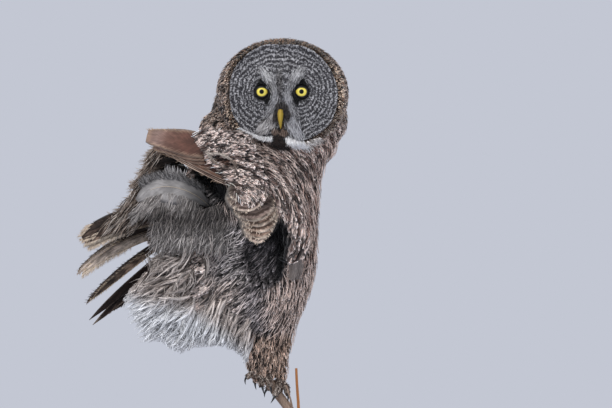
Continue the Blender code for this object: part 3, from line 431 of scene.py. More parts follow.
def region_weights(p):
    x, y, z = (p[..., i] for i in range(3))
    near = ease(-y, -35.0, 5.0)
    scapular_line = 420.0 - (x + 21.0) * np.where(x < -21.0, 0.53, 1.37)
    pit = np.maximum(depth_in(x, z, CAVITY_SHAPE) + 2.0, depth_in(x, z, HOLLOW_PIT))
    return (
        # cap: painted shade over the top of the head
        (ease(z, 556.0, 584.0), "cap"),
        (ease(z, 478.0, 494.0), "crown"),
        (ease(-z, -222.0, -206.0) * ease(x, -52.0, -40.0), "leg"),
        # pit, slit, hollow, rump and underside: painted shade under the wing and in its gaps
        (near * ease(pit, -3.0, 3.0), "pit"),
        (near * ease(depth_in(x, z, SLIT_SHAPE), -1.5, 2.0), "slit"),
        (near * ease(depth_in(x, z, HOLLOW_SHAPE), -6.0, 4.0), "hollow"),
        (ease(-z, -250.0, -214.0) * ease(-x, 42.0, 72.0), "hem"),
        (near * ease(-x, 56.0, 76.0) * ease(-z, -424.0, -400.0) * ease(z, 345.0, 372.0), "rump"),
        (near * ease(x, -98.0, -68.0) * ease(-x, 26.0, 44.0) * ease(z, 268.0, 300.0)
        * ease(-z, -375.0, -352.0), "underside"),
        (ease(-x, 26.0, 62.0) * ease(-z, -385.0, -345.0), "fluff"),
        (near * ease(-z, -345.0, -315.0) * ease(-x, -12.0, 22.0), "flank"),
        (near * ease(z, 330.0, 352.0) * ease(scapular_line - z, -6.0, 8.0), "scapular"),
        (near * ease(z, 300.0, 325.0) * ease(-x, -52.0, -22.0), "mantle"),
        (near * ease(z, 292.0, 316.0), "breast"),
        (ease(y, 15.0, 45.0) * ease(z, 250.0, 280.0), "back"),
        )


def lanes(p):
    """How far a place lies in one of the dark lanes that run along the lie, from 0 to 1."""
    x, y, z = (p[..., i] for i in range(3))
    wobble = wander(p, 46.0, 3) * 0.28
    ring = np.sin(math.tau * (np.hypot(x - SWIRL[0], z - SWIRL[1]) / LANE_WIDTH + wobble))
    line = np.sin(math.tau * ((x + 0.25 * (z - 250.0)) / BELLY_LANE_WIDTH + wobble))
    nape = np.sin(math.tau * ((x * 0.9 - z * 0.42) / LANE_WIDTH + wobble))
    near = ease(-y, -25.0, 20.0)
    above = ease(z, 448.0, 474.0) * ease(-x, -20.0, 40.0)
    arcs = near * ease(z, 286.0, 318.0) * (1 - above)
    wave = above * nape + arcs * ring + (1 - above - arcs) * line
    return ease(wave + 0.7 * wander(p, 17.0, 5), -0.05, 0.65)


def body_colours(p):
    """Ink, ground and rim at places on the body, and the strengths of streak, bars and rim."""
    weights = region_weights(p)
    ink, ground, rim = (
        mixed([(w, table[name]) for w, name in weights], table["belly"])
        for table in (COAT_INK, COAT_GROUND, COAT_RIM))
    strengths = mixed([(w, np.array(COAT[name][3:6])) for w, name in weights], COAT["belly"][3:6])
    lane_strength = mixed([(w, np.full(3, COAT[name][6])) for w, name in weights],
        np.full(3, COAT["belly"][6]))
    dark = (lanes(p) * lane_strength[..., 0])[..., None]
    blotch = 1 + 0.16 * wander(p, 60.0, 8)[..., None]
    return ink, (ground + (ink * 1.25 - ground) * dark) * blotch, rim + (ink * 1.6
        - rim) * dark * 0.75, strengths


def add(tree, kind, sockets=None, give=0, **settings):
    """Adds a node, sets it, links or fills its sockets, and gives back its output."""
    made = tree.nodes.new("ShaderNode" + kind)
    for key, value in settings.items():
        setattr(made, key, value)
    for key, value in (sockets or {}).items():
        if isinstance(value, bpy.types.NodeSocket):
            tree.links.new(value, made.inputs[key])
        else:
            made.inputs[key].default_value = value
    return made.outputs[give] if made.outputs else made


def new_finish(name):
    made = bpy.data.materials.new(name)
    made.use_nodes = True
    made.node_tree.nodes.clear()
    return made, made.node_tree


# Hide under the down: matt, and seen only between feathers, where it reads as their shade. Its grain is
# the down's own clumps, about 4 mm across.
hide, tree = new_finish("downy_hide")
tint = add(tree, "Attribute", attribute_name="ground", give="Color")
here = add(tree, "TexCoord", give="Object")
down_grain = add(tree, "TexNoise", {"Vector": here, "Scale": 250.0, "Detail": 4.0})
shade = add(tree, "MapRange", {0: down_grain, 1: 0.3, 2: 0.7, 3: 0.3, 4: 0.75})
shaded = add(tree, "VectorMath", {0: tint, "Scale": shade}, operation="SCALE")
relief = add(tree, "Bump", {"Height": down_grain, "Strength": 0.6, "Distance": 0.002})
shader = add(tree, "BsdfPrincipled", {"Base Color": shaded, "Roughness": 0.95, "Normal": relief,
    "Specular IOR Level": 0.1})
add(tree, "OutputMaterial", {0: shader})
skin.data.materials.append(hide)


def skin_surface():
    mesh = skin.data
    mesh.calc_loop_triangles()
    points = np.empty(len(mesh.vertices) * 3)
    mesh.vertices.foreach_get("co", points)
    normals = np.empty(len(mesh.vertices) * 3)
    mesh.vertices.foreach_get("normal", normals)
    corners = np.empty(len(mesh.loop_triangles) * 3, dtype=int)
    mesh.loop_triangles.foreach_get("vertices", corners)
    return points.reshape(-1, 3) / MM, normals.reshape(-1, 3), corners.reshape(-1, 3)


SKIN_POINTS, SKIN_NORMALS, SKIN_CORNERS = skin_surface()
skin_tree = BVHTree.FromPolygons(SKIN_POINTS.tolist(), SKIN_CORNERS.tolist())
hide_tint = np.ones((len(SKIN_POINTS), 4))
hide_tint[:, :3] = body_colours(SKIN_POINTS)[1]
layer = skin.data.attributes.new("ground", "FLOAT_COLOR", "POINT")
layer.data.foreach_set("color", hide_tint.astype(np.float32).ravel())

# Contour feathers: the short curved vanes that shape head, neck and body. Each is a closed leaf of
# horn-thin keratin, rooted in the skin and lying down the body over the next, pale-edged, with a dark
# centre. They are strewn evenly over the skin and combed to the lie of the coat.


def thinned(points, least):
    """Which of the points stay when none may be nearer to another than least."""
    near_by = KDTree(len(points))
    for i, p in enumerate(points):
        near_by.insert(p, i)
    near_by.balance()
    stays = np.ones(len(points), dtype=bool)
    for i, p in enumerate(points):
        if stays[i]:
            for _, j, _ in near_by.find_range(p, least):
                if j > i:
                    stays[j] = False
    return stays


def scatter(spacing, inside, seed):
    """Evenly strewn roots on the skin and the way it faces there."""
    draw = np.random.default_rng(seed)
    a, b, c = (SKIN_POINTS[SKIN_CORNERS[:, i]] for i in range(3))
    area = np.linalg.norm(np.cross(b - a, c - a), axis=1) / 2
    area = area * inside((a + b + c) / 3)
    count = int(area.sum() / spacing**2 * 6)
    pick = draw.choice(len(area), count, p=area / area.sum())
    u, v = np.sqrt(draw.random(count))[:, None], draw.random(count)[:, None]
    weights = (1 - u, u * (1 - v), u * v)
    p = sum(w * SKIN_POINTS[SKIN_CORNERS[pick, i]] for i, w in enumerate(weights))
    n = unit(sum(w * SKIN_NORMALS[SKIN_CORNERS[pick, i]] for i, w in enumerate(weights)))
    stays = thinned(p, spacing * 0.8)
    return p[stays], n[stays]


def combed(root, out, lie, length, low, high, stations, sway, stray=None):
    """Stations of feathers that follow the skin from low under it to high over it at their tips."""
    stray = np.zeros(root.shape) if stray is None else stray
    q, n = root.copy(), out.copy()
    heading = unit(lie - np.sum(lie * n, axis=1, keepdims=True) * n)
    centres, facing = [q + n * np.reshape(low, (-1, 1))], [n]
    step = (length / (stations - 1))[:, None]
    for k in range(1, stations):
        q = q + heading * step
        found = [skin_tree.find_nearest(p) for p in q]
        q = np.array([f[0] for f in found])
        n = unit(n + np.array([f[1] for f in found]))
        side = np.cross(heading, n)
        heading = lie_at(q) + stray if k < stations - 1 else heading
        heading = heading + side * np.reshape(sway, (-1, 1)) * k / stations
        heading = unit(heading - np.sum(heading * n, axis=1, keepdims=True) * n)
        rise = np.reshape(low, (-1, 1)) + np.reshape(high - low, (-1, 1)) * (k / (stations - 1)) ** 0.85
        centres.append(q + n * rise)
        facing.append(n)
    return np.stack(centres, axis=1), np.stack(facing, axis=1)


LEAF = np.array(((-1.0, 0.0), (0.0, 1.0), (1.0, 0.0), (0.0, -1.0)))
STRAND = np.array(((-1.0, -0.5), (1.0, -0.5), (0.0, 0.8)))
LEAF_PROFILE = np.array((0.3, 0.85, 1.0, 0.88, 0.36))
STRAND_PROFILE = np.array((0.75, 1.0, 0.7, 0.1))


def leaned(section, lean):
    """The cross places of a section for each feather, with its left side made narrower or wider."""
    across = np.broadcast_to(section[:, 0], (len(lean), len(section)))
    return np.where(across < 0, across * lean[:, None], across)


def woven(name, centres, facing, half, section, thickness, camber, looks, uv, finish, lean=None):
    """One mesh of many vanes. centres holds each vane's stations, looks what the finish reads."""
    count, stations = centres.shape[:2]
    ring = len(section)
    tangent = unit(np.gradient(centres, axis=1))
    across = unit(np.cross(tangent, facing if facing.ndim == 3 else facing[:, None]))
    up = np.cross(across, tangent)
    spread = leaned(section, np.ones(count) if lean is None else lean)[:, None, :, None]
    wide = spread * half[:, :, None, None]
    thick = section[None, None, :, 1, None] * np.reshape(thickness, (-1, 1, 1, 1))
    taper = np.linspace(1.0, 0.5, stations)[None, :, None, None]
    sag = camber * half[:, :, None, None] * spread**2
    verts = centres[:, :, None] + across[:, :, None] * wide + up[:, :, None] * (thick * taper - sag)
    grid = np.arange(count * stations * ring).reshape(count, stations, ring)
    here, there = grid[:, :-1], grid[:, 1:]
    quads = np.stack((here, np.roll(here, -1, 2), np.roll(there, -1, 2), there), axis=-1).reshape(-1, 4)
    caps = np.concatenate((grid[:, 0, ::-1], grid[:, -1]))
    mesh = bpy.data.meshes.new(name)
    mesh.vertices.add(verts.size // 3)
    mesh.vertices.foreach_set("co", (verts * MM).astype(np.float32).ravel())
    loops = np.concatenate((quads.ravel(), caps.ravel()))
    sizes = np.concatenate((np.full(len(quads), 4), np.full(len(caps), ring)))
    mesh.loops.add(len(loops))
    mesh.loops.foreach_set("vertex_index", loops.astype(np.int32))
    mesh.polygons.add(len(sizes))
    mesh.polygons.foreach_set("loop_start", np.concatenate(((0,), np.cumsum(sizes)[:-1])).astype(np.int32))
    mesh.polygons.foreach_set("use_smooth", np.ones(len(sizes), dtype=bool))
    along = np.broadcast_to(np.linspace(0, 1, stations)[None, :, None], grid.shape)
    sideways = np.broadcast_to(section[None, None, :, 0], grid.shape)
    chance = np.broadcast_to(looks["chance"][:, None, None], grid.shape)
    for key, parts in (("place", (along, sideways, chance)), ("marks", np.moveaxis(looks["marks"], -1, 0))):
        parts = [np.broadcast_to(v.reshape((count, -1, 1)) if v.shape != grid.shape else v,
            grid.shape) for v in parts]
        data = mesh.attributes.new(key, "FLOAT_VECTOR", "POINT").data
        data.foreach_set("vector", np.stack(parts, axis=-1).astype(np.float32).ravel())
    for key in ("ground", "ink", "rim"):
        values = looks[key].reshape((count, -1, 1, 3))
        filled = np.ones((*grid.shape, 4), dtype=np.float32)
        filled[..., :3] = values
        mesh.attributes.new(key, "FLOAT_COLOR", "POINT").data.foreach_set("color", filled.ravel())
    if "field" in looks:
        field = mesh.attributes.new("field", "FLOAT", "POINT")
        field.data.foreach_set("value", looks["field"](verts).astype(np.float32).ravel())
    patch = looks.get("patch", (0.0013, 0.0028))
    uvs = np.stack((uv[:, None, None, 0] + sideways * patch[0],
        uv[:, None, None, 1] + (along - 0.5) * patch[1]), axis=-1)
    coords = mesh.uv_layers.new(name="OFBake")
    coords.data.foreach_set("uv", uvs.reshape(-1, 2)[loops].astype(np.float32).ravel())
    mesh.update()
    made = bpy.data.objects.new(name, mesh)
    bpy.context.scene.collection.objects.link(made)
    made.data.materials.append(finish)
    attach(made, "root")
    return made


def body_unwrap(p):
    """Where a root lies on the body's skin when that is slit down the far side and laid flat."""
    around = np.arctan2(p[:, 0] + 40.0, -(p[:, 1] - 2.0))
    return np.stack((0.5 + around / math.tau * 0.98, (p[:, 2] - 130.0) / 490.0), axis=1)


def head_unwrap(p):
    """The same for the head, slit under the chin: round the rim, and from the nape to the bill."""
    across, front, height = head_measures(p)
    around = np.arctan2(across, height)
    share = np.hypot(across / HEAD_HALF_WIDTH, height / HEAD_HALF_HEIGHT)
    reach = np.where(front > 30.0, 1.0 - 0.45 * share,
        0.55 * np.arccos(np.clip(-front / 78.0, -1, 1)) / 1.9)
    return np.stack((0.5 + around / math.tau * 0.98, np.clip(reach, 0.01, 0.99)), axis=1)


# Keratin vanes, dull and fine-barbed: cross bars, a dark shaft and a pale rim are drawn along each one.
# The barbs give it a faint slanting grain and a soft edge to every mark. Real barbs are 0.3 mm apart;
# they are drawn near 1 mm, which is as fine as shows.
def feather_finish(name, bars, barbs_along, roughness, contrast, dashes, speckle, bow=-1.8, sheen=0.12):
    made, tree = new_finish(name)
    place = add(tree, "Attribute", attribute_name="place", give="Vector")
    along, sideways, chance = add(tree, "SeparateXYZ", {0: place}, give=slice(None))
    marks = add(tree, "Attribute", attribute_name="marks", give="Vector")
    streaked, barred, rimmed = add(tree, "SeparateXYZ", {0: marks}, give=slice(None))
    ink, ground, rim = (add(tree, "Attribute", attribute_name=key, give="Color")
        for key in ("ink", "ground", "rim"))
    off_shaft = add(tree, "Math", {0: sideways}, operation="ABSOLUTE")
    slant = add(tree, "Math", {0: off_shaft, 1: -0.3, 2: along}, operation="MULTIPLY_ADD")
    seed = add(tree, "Math", {0: chance, 1: 91.0}, operation="MULTIPLY")
    threads_at = add(tree, "CombineXYZ", {0: slant, 1: seed, 2: sideways})
    stretched = add(tree, "VectorMath", {0: threads_at, 1: (barbs_along, 1.0, 1.1)}, operation="MULTIPLY")
    barbs = add(tree, "TexNoise", {"Vector": stretched, "Scale": 1.0, "Detail": 3.0,
        "Roughness": 0.65})
    dashes_at = add(tree, "CombineXYZ", {0: along, 1: seed, 2: sideways})
    dashed = add(tree, "VectorMath", {0: dashes_at, 1: (dashes, 1.0, 1.6)}, operation="MULTIPLY")
    flecks = add(tree, "TexNoise", {"Vector": dashed, "Scale": 1.0, "Detail": 2.0,
        "Roughness": 0.6})
    drift = add(tree, "Math", {0: barbs, 1: 0.5}, operation="SUBTRACT")
    ragged = add(tree, "Math", {0: drift, 1: 1.0, 2: off_shaft}, operation="MULTIPLY_ADD")
    middle = add(tree, "Math", {0: 1.0, 1: add(tree, "MapRange", {0: ragged, 1: 0.2, 2: 0.5},
        interpolation_type="SMOOTHSTEP")}, operation="SUBTRACT")
    streak = add(tree, "Math", {0: middle, 1: streaked}, operation="MULTIPLY")
    phase = add(tree, "Math", {0: along, 1: bars * math.tau, 2: seed}, operation="MULTIPLY_ADD")
    phase = add(tree, "Math", {0: drift, 1: 5.0, 2: phase}, operation="MULTIPLY_ADD")
    phase = add(tree, "Math", {0: off_shaft, 1: bow, 2: phase}, operation="MULTIPLY_ADD")
    bar = add(tree, "Math", {0: add(tree, "MapRange",
        {0: add(tree, "Math", {0: phase}, operation="SINE"), 1: -0.2, 2: 0.5},
        interpolation_type="SMOOTHSTEP"), 1: barred}, operation="MULTIPLY")
    mark = add(tree, "Math", {0: streak, 1: bar}, operation="MAXIMUM")
    body = add(tree, "Mix", {0: mark, 6: ground, 7: ink}, data_type="RGBA", give=2)
    outer = add(tree, "Math", {0: ragged, 1: add(tree, "Math", {0: along, 1: 4.0}, operation="POWER")},
        operation="MAXIMUM")
    fringe = add(tree, "Math", {0: add(tree, "MapRange", {0: outer, 1: 0.62, 2: 0.95},
        interpolation_type="SMOOTHSTEP"), 1: rimmed}, operation="MULTIPLY")
    edged = add(tree, "Mix", {0: fringe, 6: body, 7: rim}, data_type="RGBA", give=2)
    shade = add(tree, "MapRange", {0: barbs, 1: 0.3, 2: 0.7, 3: 1.0 - contrast, 4: 1.0 + contrast})
    grain = add(tree, "MapRange", {0: flecks, 1: 0.4, 2: 0.6, 3: 1.0 - speckle, 4: 1.0 + speckle})
    each = add(tree, "Math", {0: add(tree, "Math", {0: chance, 1: 7.31}, operation="MULTIPLY")},
        operation="FRACT")
    varied = add(tree, "MapRange", {0: each, 3: 0.82, 4: 1.18})
    strength = add(tree, "Math", {0: add(tree, "Math", {0: shade, 1: varied}, operation="MULTIPLY"),
        1: grain}, operation="MULTIPLY")
    lit = add(tree, "VectorMath", {0: edged, "Scale": strength}, operation="SCALE")
    relief = add(tree, "Bump", {"Height": barbs, "Strength": 0.4, "Distance": 0.0006})
    shader = add(tree, "BsdfPrincipled", {"Base Color": lit, "Roughness": roughness, "Normal": relief,
        "Sheen Weight": sheen, "Sheen Roughness": 0.4,
        "Specular IOR Level": 0.2})
    add(tree, "OutputMaterial", {0: shader})
    return made


contour_vane = feather_finish("contour_vane", 4.0, 14.0, 0.8, 0.45, 3.4, 0.95)
loose_barb = feather_finish("loose_barb", 2.0, 5.0, 0.85, 0.3, 2.0, 0.35)


def no_brighter(tint, top=0.93):
    """Holds tints under a brightness without a change of hue."""
    return tint / np.maximum(1.0, tint.max(axis=-1, keepdims=True) / top)


def body_looks(centres, draw, tones=(0.2, 1.1, 2.9)):
    """Looks of feathers on the body: a dark, a middling and a pale one stand side by side."""
    ink, ground, rim, strengths = body_colours(centres)
    tone = draw.choice(tones, len(centres), p=(0.28, 0.27, 0.45))[:, None, None]
    return {"ink": ink, "ground": no_brighter(ground * tone), "rim": no_brighter(rim * tone),
        "marks": strengths,
        "chance": draw.random(len(centres))}


# Outline of the facial disc: across, height
DISC_OUTLINE = np.array(((-65.0, 8.0), (-62.6, 25.0), (-56.0, 36.5), (-46.5, 46.5), (-31.5, 57.5),
    (-16.9, 62.5),
    (-1.0, 61.0), (16.3, 62.0), (38.0, 56.0), (56.0, 39.5), (65.5, 24.2), (71.0, 4.3),
    (70.2, -15.6), (62.7, -35.5), (49.4, -48.8), (32.2, -57.0), (0.0, -60.0), (-34.8, -51.5),
    (-51.0, -41.5), (-61.0, -26.0), (-64.6, -9.0)))
outline_turns = np.arctan2(DISC_OUTLINE[:, 1], DISC_OUTLINE[:, 0])
outline_order = np.argsort(outline_turns)
OUTLINE_TURNS = outline_turns[outline_order]
OUTLINE_RADII = np.hypot(DISC_OUTLINE[:, 0], DISC_OUTLINE[:, 1])[outline_order]


def disc_radius(turn):
    return np.interp(turn, OUTLINE_TURNS, OUTLINE_RADII, period=math.tau)


def disc_share(across, height):
    """How far out a place lies on the disc, from 0 in its middle to 1 at its edge."""
    return np.hypot(across, height) / disc_radius(np.arctan2(height, across))


def off_face(p):
    across, front, height = head_measures(p)
    return ~((front > 27.0) & (disc_share(across, height) < 1.05))


def on_head(p):
    across, front, height = head_measures(p)
    round_here = np.sqrt(np.clip(1 - ((front - 12.0) / 92.0) ** 2, 0.05, 1))
    share = np.hypot(across / HEAD_HALF_WIDTH, height / HEAD_HALF_HEIGHT)
    return off_face(p) & (share > 0.8 * round_here) & (height > -60.0)


def neck(p):
    return off_face(p) & ~on_head(p) & (p[..., 2] > 440.0)


def near_body(p):
    return (p[..., 2] <= 440.0) & (p[..., 2] > 212.0) & (p[..., 1] < 4.0) & (p[..., 0] > -72.0)


def far_body(p):
    return (p[..., 2] <= 440.0) & (p[..., 2] > 212.0) & ((p[..., 1] >= 4.0) | (p[..., 0] <= -72.0))


def legs(p):
    return (p[..., 2] <= 214.0) & (p[..., 2] > 158.0)


def contour_coat(name, spacing, inside, length, half, high, seed, unwrap=body_unwrap):
    root, out = scatter(spacing, inside, seed)
    draw = np.random.default_rng(seed + 1)
    count = len(root)
    stray = draw.normal(0, 0.12, (count, 3))
    size = length * draw.uniform(0.8, 1.2, count)
    wide = half * draw.uniform(0.85, 1.15, count)
    centres, facing = combed(root, out, lie_at(root) + stray, size, np.full(count, -1.5),
        high * draw.uniform(0.7, 1.3, count), len(LEAF_PROFILE), draw.normal(0, 0.12, count), stray)
    return woven(name, centres, facing, wide[:, None] * LEAF_PROFILE, LEAF, 0.45, 0.28,
        body_looks(centres, draw),
        unwrap(root), contour_vane)


def wisps(name, spacing, inside, length, half, high, seed, unwrap=body_unwrap, tint=1.15):
    """Loose barbs that stand a little over the contour feathers and blur their edges."""
    root, out = scatter(spacing, inside, seed)
    draw = np.random.default_rng(seed + 1)
    count = len(root)
    stray = draw.normal(0, 0.2, (count, 3))
    size = length * draw.uniform(0.7, 1.3, count)
    tips = high * draw.uniform(0.8, 1.4, count)
    centres, facing = combed(root, out, lie_at(root) + stray, size, tips - 3.0, tips, 4,
        draw.normal(0, 0.3, count), stray)
    looks = body_looks(centres, draw)
    brighter = draw.choice((0.75, 1.0, 1.45), count, p=(0.3, 0.35, 0.35))[:, None, None]
    looks["ground"] = no_brighter(looks["ground"] * tint * brighter)
    looks["marks"] = np.zeros((count, 3))
    return woven(name, centres, facing, np.full((count, 1), half) * STRAND_PROFILE, STRAND, 0.35, 0.0,
        looks,
        unwrap(root), loose_barb)


contour_coat("head_plumage", 3.9, on_head, 12.0, 2.6, 2.6, 11, head_unwrap)
contour_coat("neck_plumage", 3.8, neck, 18.0, 2.4, 5.0, 21)
contour_coat("near_plumage", 3.6, near_body, 19.0, 2.3, 5.5, 31)
contour_coat("leg_plumage", 3.4, legs, 13.0, 2.4, 5.0, 51)
contour_coat("far_plumage", 6.6, far_body, 27.0, 6.6, 6.5, 41)
wisps("head_wisps", 4.2, on_head, 10.0, 0.4, 3.0, 61, head_unwrap)
wisps("neck_wisps", 4.6, neck, 17.0, 0.5, 7.0, 71)
wisps("near_wisps", 4.2, near_body, 18.0, 0.5, 7.0, 81)
wisps("leg_wisps", 3.6, legs, 14.0, 0.45, 5.5, 56)
wisps("far_wisps", 6.4, far_body, 20.0, 0.6, 7.5, 91)

# Facial disc: a dish of stiff, hair-fine feathers that lie outward from each eye and carry thin pale
# rings on dark grey. Pale brows cross it like two brackets back to back, black patches hug the inner
# side of each eye, and a dark stripe runs down to the bill.
EYE_SPACING = 51.4
EYE_HEIGHT = 3.2
RING_SPACING = 5.5
STRAND_SPACING = 1.35
HEAD_FRONT = np.array((math.sin(HEAD_TURN), -math.cos(HEAD_TURN), 0.0))
HEAD_ACROSS = np.array((math.cos(HEAD_TURN), math.sin(HEAD_TURN), 0.0))
# One brow, from its outer top past the eye to beside the bill: across, height, half width
BROW_LINE = np.array(((29.0, 33.0), (21.5, 25.0), (12.5, 13.0), (8.0, -1.0), (10.5, -13.0), (18.0, -27.0)))
BROW_WIDTHS = (3.5, 5.5, 4.8, 3.4, 3.6, 5.0)
# The black patch by one eye
BLACK_SHAPE = np.array(((28.6, 20.8), (24.5, 19.8), (18.4, 15.6), (13.2, 7.0), (13.2, -4.0), (16.2, -12.0),
    (20.0, -16.0),
    (22.8, -8.5), (28.5, -5.6), (33.8, -2.4), (34.8, 4.0), (33.2, 9.5), (31.2, 15.0)))
FACE_TINTS = {name: colour(code) for name, code in (
    ("ring", "#c6c4c5"), ("gap", "#3d3b3e"), ("brow", "#cccaca"), ("brow shade", "#676567"),
    ("black", "#060606"),
    ("stripe", "#57524f"), ("stripe shade", "#1d1a1a"), ("bristle", "#2b2928"))}


def face_relief(across, height):
    """How far the face stands in front of its plain dish: the ridge over the bill, less each eye's bowl."""
    ridge = 15.0 * np.exp(-((across / 13.0) ** 2)) * np.exp(-(((height - 12.0) / 26.0) ** 4))
    from_eye = np.hypot(np.abs(across) - EYE_SPACING / 2, height - EYE_HEIGHT)
    return ridge - 4.5 * np.exp(-((from_eye / 19.0) ** 2))


def face_front(across, height):
    share = np.hypot(across / HEAD_HALF_WIDTH, height / HEAD_HALF_HEIGHT)
    return np.interp(share, FACE_ROWS[:, 0], FACE_ROWS[:, 1]) + face_relief(across, height) * ease(-share,
        -0.8, -0.7)


def eye_distances(across, height):
    return (np.hypot(across + side * EYE_SPACING / 2, height - EYE_HEIGHT) for side in (-1, 1))


def ring_field(verts):
    """The mean distance from both eyes, which makes rings round each that join round the pair."""
    across, _, height = head_measures(verts)
    one, other = eye_distances(across, height)
    return np.sqrt(one * other)


def from_line(across, height, line):
    """The distance from a line of points, and how far along it from 0 to 1."""
    best, share = np.full(np.shape(across), 1e9), np.zeros(np.shape(across))
    for k, (a, b) in enumerate(zip(line, line[1:])):
        t = np.clip(((across - a[0]) * (b[0] - a[0]) + (height - a[1])
            * (b[1] - a[1])) / np.sum((b - a) ** 2), 0, 1)
        gap = np.hypot(across - a[0] - t * (b[0] - a[0]), height - a[1] - t * (b[1] - a[1]))
        share = np.where(gap < best, (k + t) / (len(line) - 1), share)
        best = np.minimum(best, gap)
    return best, share


def face_looks(across, height):
    """The ring tint, the gap tint and the strength of the rings at places on the face."""
    tints = FACE_TINTS
    side = np.abs(across)
    gap, share = from_line(side, height, BROW_LINE)
    width = np.interp(share, np.linspace(0, 1, len(BROW_WIDTHS)), BROW_WIDTHS)
    brow = ease(-gap, -width - 1.5, -width + 2.5) * (0.85 - 0.25 * share)
    black = ease(depth_in(side, height, BLACK_SHAPE), -1.6, 0.8)
    stripe = ease(-np.abs(across + 2.4), -6.5, -2.2) * ease(height, -20.0, -12.0) * ease(-height, -38.0,
        -22.0) * 0.8
    by_bill = ease(-np.hypot((side - 5.0) / 6.0, (height + 22.0) / 8.0), -1.15, -0.75)
    nearest = np.minimum(*eye_distances(across, height))
    near_eye = ease(-nearest, -15.0, -8.5) * 0.85
    weights = (black, by_bill, brow, stripe, near_eye)
    pale = mixed(list(zip(weights, (tints["black"], tints["bristle"] * 1.6, tints["brow"], tints["stripe"],
        tints["gap"]))), tints["ring"])
    dark = mixed(list(zip(weights, (tints["black"], tints["bristle"], tints["brow shade"],
        tints["stripe shade"],
        tints["gap"] * 0.4))), tints["gap"])
    return pale, dark, 1 - np.clip(brow + black + by_bill + stripe, 0, 1) * 0.8


face_points = np.empty(len(skin.data.vertices) * 3)
skin.data.vertices.foreach_get("co", face_points)
face_points = face_points.reshape(-1, 3) / MM
across, front, height = head_measures(face_points)
on_face = (front > 28.0) & (disc_share(across, height) < 1.0)
face_points += HEAD_FRONT * (face_relief(across, height) * on_face)[:, None]
skin.data.vertices.foreach_set("co", (face_points * MM).ravel())
skin.data.update()

# Disc feathers: too fine to see the vane, so each is one thread. Dark grey keratin with pale bands where
# a ring crosses it; a matt grain at half a millimetre breaks the rings up as the real barbs do.
disc_thread, tree = new_finish("disc_thread")
field = add(tree, "Attribute", attribute_name="field", give="Fac")
place = add(tree, "Attribute", attribute_name="place", give="Vector")
along, sideways, chance = add(tree, "SeparateXYZ", {0: place}, give=slice(None))
marks = add(tree, "Attribute", attribute_name="marks", give="Vector")
ringed, _, _ = add(tree, "SeparateXYZ", {0: marks}, give=slice(None))
pale, dark = (add(tree, "Attribute", attribute_name=key, give="Color") for key in ("ground", "ink"))
here = add(tree, "TexCoord", give="Object")
waver = add(tree, "TexNoise", {"Vector": here, "Scale": 60.0, "Detail": 4.0, "Roughness": 0.6})
flecks = add(tree, "TexNoise", {"Vector": here, "Scale": 520.0, "Detail": 2.0})
turns = add(tree, "Math", {0: field, 1: math.tau / RING_SPACING}, operation="MULTIPLY")
turns = add(tree, "Math", {0: waver, 1: 16.0, 2: turns}, operation="MULTIPLY_ADD")
wave = add(tree, "Math", {0: turns}, operation="SINE")
broken = add(tree, "Math", {0: flecks, 1: 12.0, 2: -6.0}, operation="MULTIPLY_ADD")
ring = add(tree, "MapRange", {0: add(tree, "Math", {0: wave, 1: broken}, operation="ADD"), 1: -0.8, 2: 2.3},
    interpolation_type="SMOOTHSTEP")
grain = add(tree, "MapRange", {0: flecks, 1: 0.38, 2: 0.62}, interpolation_type="SMOOTHSTEP")
pick = add(tree, "Mix", {0: ringed, 2: grain, 3: ring})
tint = add(tree, "Mix", {0: pick, 6: dark, 7: pale}, data_type="RGBA", give=2)
varied = add(tree, "MapRange", {0: chance, 3: 0.66, 4: 1.34})
lit = add(tree, "VectorMath", {0: tint, "Scale": varied}, operation="SCALE")
shader = add(tree, "BsdfPrincipled", {"Base Color": lit, "Roughness": 0.85, "Sheen Weight": 0.1,
    "Specular IOR Level": 0.15})
add(tree, "OutputMaterial", {0: shader})

DISC_PROFILE = np.array((0.8, 1.0, 0.35))


def face_strands(name, across, height, way, length, half, low, high, looks, profile, finish, bulge=0.0,
        sway=0.0):
    """Threads on the face, laid the given way over its relief and lifted towards their tips."""
    count, stations = len(across), len(profile)
    t = np.linspace(0, 1, stations)[None, :]
    way = unit(way)
    turn = np.reshape(sway, (-1, 1)) * t**2
    a = across[:, None] + length[:, None] * (way[:, :1] * t + way[:, 1:] * turn)
    h = height[:, None] + length[:, None] * (way[:, 1:] * t - way[:, :1] * turn)
    rise = np.reshape(low, (-1, 1)) + np.reshape(high - low, (-1, 1)) * t**0.8 + np.reshape(bulge,
        (-1, 1)) * np.sin(t * math.pi)
    centres = head_point(a, face_front(a, h) + rise, h)
    return woven(name, centres, np.broadcast_to(HEAD_FRONT, (count, 3)),
        np.reshape(half, (-1, 1)) * profile, STRAND,
        0.35, 0.0, looks(a, h), head_unwrap(centres[:, 0]), finish)


def disc_looks(draw):
    def looks(across, height):
        pale, dark, ringed = face_looks(across, height)
        marks = np.stack((ringed, ringed * 0, ringed * 0), axis=-1)
        return {"ground": pale, "ink": dark, "rim": pale, "marks": marks, "field": ring_field,
            "chance": draw.random(len(across))}
    return looks


def in_hex(half_width, half_height, spacing, draw):
    rows = np.arange(-half_height, half_height, spacing * 0.866)
    columns = np.arange(-half_width, half_width, spacing)
    height, across = (v.ravel() for v in np.meshgrid(rows, columns, indexing="ij"))
    across = across + (np.round((height + half_height) / (spacing * 0.866)) % 2) * spacing / 2
    return across + draw.normal(0, spacing * 0.22, across.shape), height + draw.normal(0, spacing * 0.22,
        height.shape)


